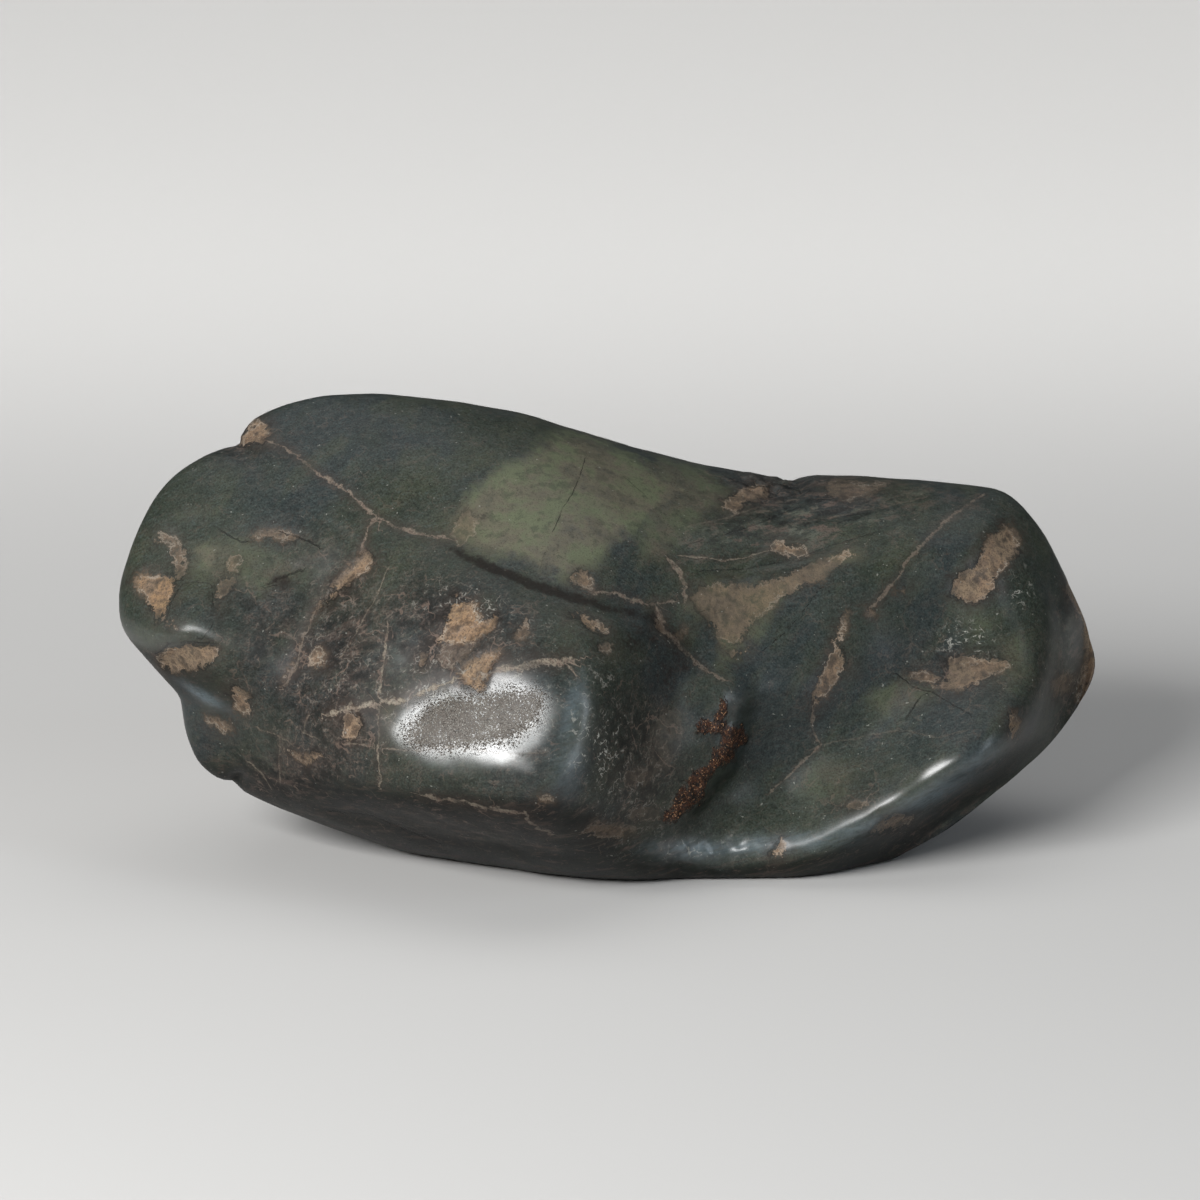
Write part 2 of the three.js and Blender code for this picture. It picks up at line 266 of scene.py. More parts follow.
fold_head = FOLD.way[4][:2]
print("the fold is", channel(*np.array(fold_head)[:, None], FOLD).round(1)[0], "mm deep at", fold_head)

# %% [markdown]
# ## From a direction to a point
# Think of a ball with the stone inside it. Every direction on the ball's front half lands somewhere
# in the front view, between the centre and the rim, and gets the relief there; the back half gets
# the back's relief. Near the rim both are eased back to it, so the halves meet without a seam. The
# stone stands on a small flat, worn by lying: everything that would be lower becomes zero.

# %% The surface as a function of direction
WORN_FLAT = 1.5  # mm of height in which the side rounds into the worn flat
rim_angle = np.arctan2(rim_curve[:, 1] - CENTRE[1], rim_curve[:, 0] - CENTRE[0])
rim_radius = np.hypot(rim_curve[:, 1] - CENTRE[1], rim_curve[:, 0] - CENTRE[0])


def front(x, z):
    """The sheet, less the ledges cut into it, plus the lip and the knob."""
    cuts = sum(channel(x, z, cut) for cut in (FOLD, TROUGH, SPUR, END_STEP))
    return front_sheet(x, z) - cuts + channel(x, z, LIP) + bell(x, z, KNOB)


def back(x, z):
    """Behind the rim: the outermost of three swells and a floor, with two hollows and a ledge."""
    swells = [swell.height - SWELL_FALL * oval_share(x, z, swell)**2 for swell in SWELLS]
    hollows = sum(bell(x, z, hollow) for hollow in HOLLOWS)
    return hollows + channel(x, z, BACK_STEP) - soft_max(swells + [BACK_FLOOR + 0 * x], SWELL_BLEND)


def main_form(direction):
    """Direction to point: rim plus (relief minus rim) times the square root of 1 - share^edge.
    Heights below the worn flat become 0, and a parabola rounds the corner there."""
    nx, ny, nz = direction.T
    share, angle = np.hypot(nx, nz), np.arctan2(nz, nx)
    radius = np.interp(angle, rim_angle, rim_radius, period=2 * np.pi)
    rim = np.interp(angle, rim_angle, rim_curve[:, 2], period=2 * np.pi)
    x = CENTRE[0] + share * radius * np.cos(angle)
    z = CENTRE[1] + share * radius * np.sin(angle)
    facing = ny <= 0
    edges = [np.interp(angle, EASE_ANGLES, edge, period=2 * np.pi) for edge in (FRONT_EDGE, BACK_EDGE)]
    ease = np.sqrt(np.clip(1 - share**np.where(facing, *edges), 0, 1))
    relief = np.where(facing, front(x, z), back(x, z))
    forward = rim + (relief - rim) * ease
    worn = np.where(z > WORN_FLAT, z, np.where(z < -WORN_FLAT, 0, (z + WORN_FLAT)**2 / (4 * WORN_FLAT)))
    return np.column_stack([x, -forward, worn]), facing, -forward + rim


nose = main_form(np.array([[0.0, -1.0, 0.0]]))[0][0]
print("straight ahead the stone reaches", nose.round(1), "mm")

# %% [markdown]
# ## A grid without poles
# A globe of latitude and longitude would bunch its cells at two poles. A box whose six faces are
# divided into cells and blown up into a ball has no poles, only eight mild corners.

# %% Blow a box up into a ball of directions
COARSE = (40, 24, 24)  # cells along x, y and z in the solid part
FINE = (210, 64, 110)  # and in this skin


def ball(cells):
    """Six square grids, stretched by tan so that their cells span equal angles, pushed out to length 1."""
    even = [np.tan(np.linspace(-1, 1, n + 1) * np.pi / 4) for n in cells]
    points, quads, start = [], [], 0
    for axis in range(3):
        i, j = (axis + 1) % 3, (axis + 2) % 3
        for side in (-1, 1):
            a, b = np.meshgrid(even[i], even[j], indexing="ij")
            face = np.zeros(a.shape + (3,))
            face[..., axis], face[..., i], face[..., j] = side, a, b
            index = start + np.arange(a.size).reshape(a.shape)
            ring = [index[:-1, :-1], index[1:, :-1], index[1:, 1:], index[:-1, 1:]]
            quads.append(np.stack(ring[::side], -1).reshape(-1, 4))
            points.append(face.reshape(-1, 3))
            start += a.size
    points = np.concatenate(points)
    points /= np.linalg.norm(points, axis=1)[:, None]
    _, first, same = np.unique(points.round(6), axis=0, return_index=True, return_inverse=True)
    return points[first], same.reshape(-1)[np.concatenate(quads)]


coarse_points = main_form(ball(COARSE)[0])[0]
low, high = coarse_points.min(0), coarse_points.max(0)
SET_DOWN = -np.array([(low[0] + high[0]) / 2, (low[1] + high[1]) / 2, low[2]])
directions, quads = ball(FINE)
body, facing, behind = main_form(directions)
print("fine grid:", len(body), "points,", 2 * len(quads), "triangles; set down by", SET_DOWN.round(2), "mm")

# %% [markdown]
# ## A drawing laid over the stone
# The markings are easiest to place as an illustrator would, on a sheet held square to the line of
# sight: 16 degrees above level and 1.2 m away. Each point of the stone is thrown onto that sheet,
# and a marking is a short list of points there, in millimetres from the stone's foot. The back has
# a sheet of its own.

# %% Throw the stone onto the drawing
VIEW_HEIGHT = math.radians(16)
VIEW_DISTANCE = 1200
VIEW_AIM = np.array([-1.6, 0, 59.2])
SIGHT = np.array([0, math.cos(VIEW_HEIGHT), -math.sin(VIEW_HEIGHT)])
UPRIGHT = np.array([0, math.sin(VIEW_HEIGHT), math.cos(VIEW_HEIGHT)])


def front_drawing(points):
    """Perspective: offsets from the line of sight, times 1.2 m over the distance along it."""
    away = points - VIEW_AIM
    scale = VIEW_DISTANCE / (VIEW_DISTANCE + away @ SIGHT)
    return away[:, 0] * scale + VIEW_AIM[0], away @ UPRIGHT * scale + VIEW_AIM @ UPRIGHT


across, up = front_drawing(body)
print("the drawing spans", across[facing].min().round(), "to", across[facing].max().round(), "mm across")

# %% [markdown]
# ## Distances instead of paint
# A painted texture blurs when the camera comes close. A distance doesn't: if every point of the
# mesh knows how far it is from the edge of a marking, the shader can put a crisp, ragged edge there
# at any size. Areas give a distance that is negative inside. Lines give one that is positive on
# their left and negative on their right.

# %% Distances to shapes on the drawing


def outline_distance(x, z, corners):
    """Distance to the outline, negative inside. A point is inside if a ray to the right crosses the
    outline an odd number of times."""
    distance, inside = np.full(x.shape, np.inf), np.zeros(x.shape, bool)
    for (x0, z0), (x1, z1) in zip(corners, corners[1:] + corners[:1]):
        dx, dz = x1 - x0, z1 - z0
        t = np.clip(((x - x0) * dx + (z - z0) * dz) / (dx**2 + dz**2), 0, 1)
        distance = np.minimum(distance, np.hypot(x - x0 - t * dx, z - z0 - t * dz))
        if dz:
            inside ^= ((z0 > z) != (z1 > z)) & (x < x0 + (z - z0) * dx / dz)
    return np.where(inside, -distance, distance)


def line_distance(x, z, way):
    """Signed distance to the nearest leg of a way, and the plain distance."""
    distance, side, _ = along_way(x, z, way)
    nearest = distance.argmin(0)[None]
    plain = np.take_along_axis(distance, nearest, 0)[0]
    return np.copysign(plain, np.take_along_axis(side, nearest, 0)[0]), plain


square_test = outline_distance(np.zeros(1), np.zeros(1), [(-1, -1), (1, -1), (1, 1), (-1, 1)])
print("the middle of a 2 mm square is", square_test[0], "mm from its outline")

# %% [markdown]
# ## The markings
# In real serpentine these are other minerals: tan inclusions of carbonate and rust, pale green
# bastite, and veins that filled old cracks. They could be painted by hand on an image. Here each is
# a named row instead: how brown and how strong it is, and then a walk round its outline.

# %% Inclusions of the notch, the lobe and the trough: how brown, how strong, and the outline in mm
Area = namedtuple("Area", "tone strength points")


def named(kind, rows):
    """A marking of the given kind for each row, kept under its name."""
    return {name: kind(*row) for name, row in rows.items()}


INCLUSIONS = named(Area, {
    "foot of the wall": (0.25, 0.45, [(-35.5, 72), (-34, 75), (-31.5, 77), (-28.5, 75), (-30, 71),
        (-33.5, 69)]),
    "in the notch": (0.6, 0.8, [(-82, 95), (-79.5, 97.5), (-76.5, 97), (-76, 94.5), (-77.5, 92.5),
        (-79.5, 92.5), (-82.5, 91.5)]),
    "crescent on the lobe": (0.3, 0.55, [(-102.5, 71.5), (-99.5, 72.5), (-97, 71.5), (-94.5, 67.5),
        (-94.5, 63), (-97, 61.5), (-98, 66.5), (-99, 69.5), (-101.5, 70)]),
    "foot of the crescent": (0.85, 0.8, [(-106, 62.5), (-103, 63), (-98.5, 62), (-97, 60.5), (-97.5, 57),
        (-99, 56), (-99.5, 53), (-101.5, 54), (-104, 57), (-106.5, 60.5)]),
    "tail of the crescent": (0.5, 0.7, [(-101.5, 52.5), (-99, 53), (-97, 52), (-97, 50.5), (-98.5, 51)]),
    "pit under the lobe": (0.55, 0.85, [(-101, 44.5), (-99, 46), (-95.5, 46.5), (-90, 46.5), (-88, 46.5),
        (-87.5, 44.5), (-89.5, 42.5), (-92.5, 41), (-96.5, 40.5), (-99, 40.5), (-100.5, 41.5)]),
    "low on the lobe": (0.5, 0.75, [(-85.5, 37), (-83.5, 37.5), (-81, 36), (-80, 31.5), (-83, 31),
        (-85, 31.5), (-84, 34)]),
    "under the lobe": (0.6, 0.6, [(-91, 30.5), (-88, 30), (-85.5, 28.5), (-84.5, 27), (-87.5, 27),
        (-90, 28.5)]),
    "wedge in the trough": (0.6, 0.9, [(-55, 68.5), (-52.5, 66), (-53.5, 63.5), (-57.5, 61.5), (-61, 58.5),
        (-64.5, 55.5), (-66, 54), (-64.5, 56.5), (-61.5, 60.5), (-58.5, 64), (-56, 66.5)]),
    "right of the trough": (0.5, 0.7, [(-67.5, 44.5), (-64.5, 46.5), (-63.5, 45), (-63.5, 42),
        (-67, 41.5)]),
    "streak in the trough": (0.5, 0.7, [(-68.5, 49), (-69.5, 44.5), (-70.5, 42), (-73, 38), (-73.5, 37.5),
        (-72, 41.5), (-70, 45)]),
    "square": (0.55, 0.9, [(-59, 32), (-56, 32), (-55.5, 29), (-56.5, 25.5), (-60, 25), (-59.5, 28.5)]),
    "below the square": (0.6, 0.75, [(-72, 23), (-68.5, 22), (-64.5, 22.5), (-64, 21), (-67.5, 20),
        (-70, 21)]),
    "between the lobe cracks": (0.5, 0.6, [(-80.5, 71), (-76.5, 73), (-71.5, 72.5), (-68.5, 71), (-72, 70),
        (-76, 71), (-79.5, 70)]),
    "crumb trail on the lobe": (0.35, 0.4, [(-85.5, 67), (-83.5, 67.5), (-82, 66), (-83.5, 63), (-85, 61.5),
        (-86, 63)]),
    "crumbs on the lobe": (0.4, 0.5, [(-88, 60.5), (-85, 62.5), (-84, 61), (-86.5, 57), (-88, 54),
        (-88.5, 56)]),
})
print(len(INCLUSIONS), "inclusions in the notch, on the lobe and in the trough")

# %% Inclusions of the belly and the hollow
INCLUSIONS.update(named(Area, {
    "crown of the belly": (0.8, 0.9, [(-35, 55.5), (-34, 57.5), (-32, 56), (-29.5, 56.5), (-29, 54),
        (-27, 52), (-25, 54), (-25.5, 50.5), (-28, 49), (-30, 47.5), (-33.5, 47), (-38, 47.5), (-38.5, 49),
        (-36.5, 50.5), (-36, 53)]),
    "grey foot of the crown": (0.2, 0.5, [(-37.5, 47.5), (-31, 47.5), (-28.5, 48), (-30, 45.5),
        (-32.5, 43.5), (-35, 41.5), (-37.5, 41.5), (-38.5, 44.5)]),
    "wedge on the belly": (0.8, 0.95, [(-24, 46), (-25, 43), (-26.5, 40.5), (-27, 37.5), (-29, 36),
        (-31.5, 37.5), (-33, 39), (-34, 40.5), (-31, 43), (-27, 45)]),
    "crumb on the belly": (0.5, 0.6, [(-43, 44.5), (-40.5, 44.5), (-40.5, 42.5), (-42.5, 42)]),
    "sliver on the shoulder": (0.6, 0.8, [(-9, 54.5), (-6, 54), (-2, 52), (0.5, 50.5), (0, 49.5), (-3, 50),
        (-6, 52), (-8, 53)]),
    "beside the sliver": (0.45, 0.6, [(-21, 49), (-19.5, 50.5), (-18, 53), (-17.5, 50.5), (-18, 48.5),
        (-20, 47.5)]),
    "pale oval": (0.25, 0.5, [(-2, 47), (0, 47.5), (1.5, 46.5), (1.5, 45), (0, 44.5), (-1.5, 45)]),
    "low crumb": (0.5, 0.6, [(-15.5, 12.5), (-12.5, 13), (-12, 11.5), (-14, 11), (-15.5, 11.5)]),
    "large one in the hollow": (0.1, 0.22, [(11.5, 32), (15, 33), (17, 31.5), (17.5, 27), (15.5, 22),
        (13.5, 18), (10, 17), (8.5, 19.5), (9, 24.5), (10, 28)]),
    "middle one in the hollow": (0.15, 0.4, [(4, 18.5), (7, 19.5), (11, 18.5), (10.5, 17), (8, 15),
        (4.5, 14.5), (2.5, 16)]),
    "low one in the hollow": (0.15, 0.4, [(4.5, 10), (8, 11), (11.5, 9.5), (12, 7.5), (8, 7), (4.5, 7.5)]),
    "foot of the hollow": (0.4, 0.35, [(-6, 4.5), (-3, 7.5), (3, 6.5), (8, 5.5), (3, 3), (-1.5, 3)]),
    "head of the fold": (0.55, 0.65, [(-9, 61.5), (-6, 64), (-3.5, 63), (-3, 59), (-5.5, 59.5),
        (-7.5, 61)]),
    "where the fold turns": (0.5, 0.6, [(11, 55.5), (12.5, 52), (14, 49), (18, 50.5), (17, 48.5),
        (13.5, 48.5), (11, 50.5)]),
}))
print(len(INCLUSIONS), "inclusions with those of the belly and the hollow")

# %% Inclusions of the slab, the lip and the right end
INCLUSIONS.update(named(Area, {
    "wing on the slab": (0.4, 0.5, [(18.5, 57.5), (21.5, 59.5), (25, 61), (29, 61), (32.5, 60), (37.5, 62),
        (43.5, 64), (49.5, 66.5), (55.5, 68), (54.5, 67), (49.5, 63), (49.5, 61.5), (43.5, 59.5),
        (39.5, 57.5), (36.5, 54), (33.5, 53), (30.5, 48), (26, 46.5), (23.5, 51.5), (21.5, 54)]),
    "band on the slab": (0.6, 0.5, [(34.5, 61), (44, 63), (49, 64.5), (49, 61), (45.5, 60), (40.5, 59),
        (36.5, 58.5), (34, 59)]),
    "tip of the band": (0.55, 0.7, [(49, 65), (54, 69), (56, 67), (52.5, 65)]),
    "root of the band": (0.5, 0.4, [(24.5, 60.5), (31.5, 60.5), (32, 57), (25.5, 57)]),
    "sliver on the slab": (0.7, 0.6, [(28, 44.5), (31.5, 46), (32.5, 45.5), (29.5, 44)]),
    "at the top notch": (0.5, 0.65, [(25.5, 78.5), (29.5, 81.5), (32, 83.5), (36.5, 83), (36.5, 80.5),
        (31.5, 79.5), (29, 77), (27, 77.5)]),
    "along the top": (0.3, 0.45, [(49, 83), (50.5, 84.5), (57.5, 83.5), (64, 83.5), (61.5, 81.5),
        (54, 79.5), (50, 80.5)]),
    "on the folded layers": (0.45, 0.7, [(37, 71), (40, 70.5), (45, 69), (45.5, 67.5), (41.5, 67),
        (37, 68.5)]),
    "large one at the right": (0.5, 0.95, [(86, 71.5), (90.5, 74), (92.5, 71.5), (93, 68.5), (90, 64.5),
        (87, 62), (88, 59.5), (86, 58.5), (83.5, 56.5), (80.5, 56.5), (77.5, 58.5), (77.5, 61), (81, 63.5),
        (83, 65.5)]),
    "blade on the slab": (0.5, 0.75, [(53.5, 53.5), (54, 54.5), (54, 50), (52.5, 47), (52.5, 45), (55, 41),
        (52.5, 39.5), (50, 36.5), (48, 34), (46.5, 32.5), (46, 36), (48, 40), (50, 43.5), (50.5, 46),
        (51.5, 49.5)]),
    "pink cluster": (0.45, 0.6, [(67.5, 40), (71, 41), (76, 39), (77, 43.5), (83, 44.5), (88, 43.5),
        (90.5, 43.5), (90.5, 41), (86, 40), (83.5, 37.5), (79.5, 36.5), (74.5, 37), (71, 38.5)]),
    "knob on the lip": (0.6, 0.95, [(90, 31), (92, 31.5), (93.5, 29), (92.5, 25.5), (91, 25),
        (90.5, 28.5)]),
    "in the lip": (0.6, 0.85, [(37, 1), (39, 3), (40.5, 2), (39.5, -0.5), (37.5, -2), (37, -0.5)]),
    "under the lip": (0.35, 0.5, [(61, 6.5), (66, 8.5), (70, 8), (67.5, 6.5), (62.5, 4.5), (59, 4)]),
    "end face": (0.45, 0.75, [(103.5, 66), (107.5, 59), (110.5, 52.5), (112.5, 45.5), (111.5, 36.5),
        (108, 31), (105.5, 34.5), (107.5, 43.5), (106.5, 52.5), (103.5, 59)]),
    "at the right end": (0.35, 0.5, [(99.5, 38.5), (103, 41), (105.5, 40), (104.5, 36), (100.5, 35)]),
    "bead on the slab": (0.35, 0.8, [(58, 55.5), (60.5, 55.5), (60.5, 53.5), (58.5, 53.5)]),
    "in the dish": (0.4, 0.35, [(52.5, 12), (59, 12), (59, 10.5), (54, 10)]),
    "crumb on the slab": (0.5, 0.55, [(64, 59.5), (68, 59.5), (67, 58.5), (64, 58.5)]),
}))
print(len(INCLUSIONS), "inclusions in all")

# %% [markdown]
# ## Crust, pale patches and the dulled top
# A rusty crust clings to the spur, and patches of pale green mineral cloud the ground. The top of
# the belly is polished by handling, and its very top has been rubbed dull again. All are areas,
# drawn like the inclusions.

# %% Crust, pale patches, worn and polished areas: how strong, and the outline
Patch = namedtuple("Patch", "strength points")
CRUST = named(Patch, {
    "crust on the spur": (1, [(25.5, 35), (27, 34), (27.5, 32), (27, 29.5), (30, 28), (32, 26.5),
        (31, 24.5), (28, 23.5), (28.5, 21), (25.5, 19.5), (24, 18), (22.5, 16.5), (22, 12.5), (19.5, 11),
        (18, 9.5), (15, 7), (13, 7.5), (13.5, 10), (15.5, 12.5), (17, 15), (19.5, 18), (22, 19.5),
        (24, 22.5), (25.5, 26.5), (23.5, 27), (19.5, 26.5), (21, 29), (24.5, 29.5)]),
})
PALE_PATCHES = named(Patch, {
    "wall above the belly": (1, [(-36, 71.5), (-35, 75.5), (-31.5, 80), (-26.5, 84.5), (-19.5, 88.5),
        (-11.5, 93.5), (-4.5, 93.5), (3, 90), (9.5, 86.5), (18, 84), (21, 81.5), (14, 77), (8, 74),
        (1.5, 70), (-3, 64.5), (-9, 61.5), (-15.5, 64), (-21, 67), (-27, 67.5), (-32.5, 70)]),
    "beside the wall": (0.6, [(12, 89), (22, 85.5), (27, 80.5), (17, 71.5), (12, 65.5), (7.5, 66),
        (7.5, 79.5)]),
    "triangle on the slab": (0.8, [(17, 57), (20.5, 59.5), (25.5, 61), (32, 60), (37.5, 61.5), (44, 63.5),
        (49, 66), (54, 68.5), (55.5, 67), (50, 63), (45.5, 60), (40.5, 58.5), (38, 55), (33, 48.5),
        (29, 44.5), (26, 43.5), (24, 51), (21, 53.5), (18, 54.5)]),
    "smudge on the lobe": (0.75, [(-94, 68.5), (-91, 70.5), (-87, 70), (-85.5, 67), (-86.5, 63),
        (-90.5, 61.5), (-93.5, 63.5)]),
    "middle of the lobe": (0.35, [(-94.5, 66.5), (-88, 71), (-81, 69.5), (-72, 66.5), (-67.5, 63),
        (-70.5, 60.5), (-77.5, 58), (-84, 60.5), (-90, 60.5), (-94, 62.5)]),
    "top of the lobe": (0.35, [(-98, 76), (-90, 79), (-88, 77), (-94.5, 74.5)]),
    # The pale patches in the middle of the slab and in the dish are pale mineral, and partly a painted
    # sheen for the soft glow there.
    "middle of the slab": (0.5, [(59, 35), (66, 38.5), (72.5, 36.5), (71, 32.5), (62.5, 31.5)]),
    "dish": (0.3, [(44, 19), (49, 21.5), (56, 20), (54, 13), (47, 13), (43, 15.5)]),
    "right of the slab": (0.35, [(76, 57), (83.5, 55.5), (86, 51), (79.5, 51)]),
    "right end": (0.35, [(88, 48.5), (93, 48.5), (95.5, 40), (90.5, 36.5)]),
    "left of the belly": (0.4, [(-51.5, 32.5), (-47.5, 33.5), (-46.5, 26.5), (-50, 24.5)]),
})
WORN_PATCHES = named(Patch, {
    "dulled top of the belly": (1, [(-45.5, 28), (-41, 33), (-34, 35.5), (-24, 37), (-15.5, 37),
        (-13.5, 34.5), (-15.5, 29.5), (-21, 25.5), (-28.5, 23.5), (-37.5, 22.5), (-43.5, 23.5), (-46, 26)]),
})
POLISHED = named(Patch, {
    "top of the belly": (1, [(-48, 28.5), (-44.5, 32), (-39.5, 35), (-34, 37), (-28.5, 37.5), (-25, 40),
        (-19.5, 41), (-13.5, 40.5), (-11, 36.5), (-11.5, 31), (-13.5, 26), (-18, 22.5), (-24, 19.5),
        (-31, 18), (-37.5, 18.5), (-44, 20), (-47.5, 23.5)]),
})
print(len(PALE_PATCHES), "pale patches")

# %% [markdown]
# ## Veins and cracks
# Veins are healed cracks filled with pale mineral; open cracks are dark. Each is a way of a few
# points with a half width. The shader makes it wander and break, because a line with even edges
# looks drawn.

# %% Veins: half width, how pink, how strong, and the way in mm on the drawing
Vein = namedtuple("Vein", "half_width tone strength points")
VEINS = named(Vein, {
    "along the fold": (0.42, 0.6, 0.8, [(-75.5, 92.5), (-70.5, 90), (-65, 85.5), (-61, 83), (-56, 79.5),
        (-52, 75.5), (-46.5, 73), (-41, 71.5), (-36.5, 71)]),
    "down from the fold": (0.35, 0.7, 0.8, [(-52, 75.5), (-54, 72.5), (-55, 68.5)]),
    "below the wedge": (0.38, 0.6, 0.6, [(-66, 54), (-67, 50.5), (-68.5, 48), (-69.5, 43), (-72.5, 38)]),
    "beside the wedge": (0.22, 0.3, 0.45, [(-49.5, 64), (-52, 57.5), (-54.5, 53.5), (-56.5, 49.5),
        (-59.5, 44.5)]),
    "end of the fold": (0.4, 0.5, 0.7, [(-3, 58.5), (1.5, 58.5), (5, 57), (9.5, 56), (14.5, 56.5)]),
    "down to the knob": (0.45, 0.6, 0.5, [(11, 55.5), (13, 50.5), (18, 44.5), (22.5, 41), (26, 39)]),
    "upright on the belly": (0.28, 0.2, 0.7, [(-49.5, 50.5), (-50, 44.5), (-51, 39), (-51.5, 34),
        (-51.5, 25), (-51.5, 21), (-51, 15.5)]),
    "across the belly": (0.6, 0.25, 1, [(-62, 31.5), (-59, 32.5), (-52, 33.5), (-45, 34.5), (-39.5, 37.5),
        (-35.5, 38.5)]),
    "over the belly": (0.8, 0.35, 0.95, [(-26.5, 40.5), (-21.5, 41.5), (-16, 43), (-11.5, 43), (-8, 43.5)]),
    "hook over the belly": (0.3, 0.3, 0.8, [(-11.5, 43), (-9, 42.5), (-7, 40)]),
    "low across the belly": (0.22, 0.4, 0.5, [(-59, 24.5), (-55.5, 24.5), (-51, 23.5), (-42.5, 23),
        (-33.5, 24), (-25.5, 22.5), (-14, 22.5)]),
    "foot of the belly": (0.42, 0.45, 0.7, [(-42, 13), (-38, 12), (-32, 11.5), (-27.5, 10), (-22.5, 9.5),
        (-18.5, 9), (-17.5, 7), (-15, 5), (-12.5, 4)]),
    "head of the slab": (0.45, 0.5, 0.7, [(14, 66), (16.5, 63), (17.5, 60.5), (17.5, 57)]),
    "from head to layers": (0.22, 0.3, 0.6, [(16.5, 67), (22, 66.5), (26.5, 66), (31, 66.5), (36.5, 68.5)]),
    "across the slab": (0.4, 0.6, 0.55, [(83, 79.5), (80, 77.5), (76, 74.5), (72.5, 71), (70, 68.5),
        (67, 65), (65, 61.5), (61.5, 57.5), (60, 55.5)]),
    "below the blade": (0.3, 0.5, 0.45, [(46.5, 32.5), (46, 29), (47, 25.5), (48.5, 24.5), (45, 21.5),
        (42.5, 19), (39, 15.5), (37, 14)]),
    "along the dish": (0.22, 0.5, 0.18, [(48.5, 24.5), (54.5, 25.5), (61.5, 27), (68, 27.5), (74, 26),
        (80.5, 27.5)]),
    "layer one": (0.2, 0.4, 0.28, [(18.5, 73.5), (27.5, 76), (36.5, 79), (43.5, 80)]),
    "layer two": (0.2, 0.5, 0.25, [(40, 74), (50, 76), (60.5, 78), (71.5, 80)]),
    "layer three": (0.2, 0.4, 0.22, [(34.5, 71.5), (43.5, 74.5), (54.5, 77)]),
    "layer four": (0.2, 0.4, 0.15, [(53.5, 79.5), (61.5, 79.5), (72.5, 82.5)]),
    "low left one": (0.18, 0.3, 0.45, [(-80.5, 20.5), (-77.5, 17.5), (-76, 15)]),
    "low left two": (0.18, 0.3, 0.4, [(-73.5, 25.5), (-74, 21), (-73.5, 16)]),
    "low left three": (0.2, 0.3, 0.45, [(-67.5, 30.5), (-68.5, 27), (-65.5, 26)]),
    "across the low left": (0.22, 0.6, 0.4, [(-78.5, 28), (-74.5, 26.5), (-71.5, 25)]),
})
print(len(VEINS), "veins")

# %% Cracks: half width, how strong, and the way
Crack = namedtuple("Crack", "half_width strength points")
CRACKS = named(Crack, {
    "lobe": (0.22, 0.75, [(-89, 74), (-86, 72), (-82.5, 70), (-79.5, 70)]),
    "lobe, right part": (0.22, 0.75, [(-73, 72), (-69, 71), (-65, 69)]),
    "lobe, lower": (0.11, 0.6, [(-84, 60), (-79, 58.5), (-74.5, 57.5)]),
    "lobe, ragged": (0.3, 0.6, [(-76.5, 60.5), (-73.5, 62), (-69, 63.5)]),
    # A painted shadow: the dark line along the pit's upper edge, under the ridge above it.
    "lip of the pit": (0.26, 0.68, [(-101, 45), (-98.5, 47), (-94, 47.5), (-88, 47)]),
    "round the tongue": (0.15, 0.45, [(-99, 53), (-98, 56.5), (-95.5, 60.5), (-92, 61), (-89, 60.5),
        (-88.5, 56), (-88.5, 51), (-91, 48)]),
    "wall": (0.13, 0.68, [(-5, 88.5), (-6, 85), (-8, 80.5), (-10, 77.5), (-12, 72.5)]),
    "wall, short": (0.11, 0.52, [(-14, 67.5), (-15, 64)]),
    "wall, right": (0.09, 0.45, [(4, 84.5), (7.5, 81.5), (10, 79.5)]),
    "slab": (0.14, 0.68, [(48, 59.5), (43.5, 53.5), (40, 49.5), (34, 44.5)]),
    "slab, low": (0.19, 0.68, [(65, 40.5), (69.5, 37), (73.5, 36), (82, 31)]),
    "slab, low branch": (0.19, 0.68, [(70.5, 35), (68.5, 32), (67, 30)]),
    "layers": (0.15, 0.52, [(18.5, 69.5), (27.5, 72), (36.5, 75), (43.5, 78)]),
    "under the layers": (0.15, 0.52, [(21, 63.5), (30, 64), (41, 66), (50, 69.5), (61.5, 72.5)]),
    "at the top notch": (0.26, 0.68, [(28, 84), (33.5, 82.5), (39, 83), (43.5, 81.5)]),
    "low left": (0.22, 0.52, [(-62.5, 9), (-53.5, 7.5), (-46.5, 4.5), (-37.5, 1.5)]),
    "through the dulled top": (0.22, 0.8, [(-42.5, 24), (-37.5, 24.5), (-32.5, 24.5), (-27.5, 24),
        (-23, 23), (-19, 22.5)]),
})
print(len(CRACKS), "cracks")
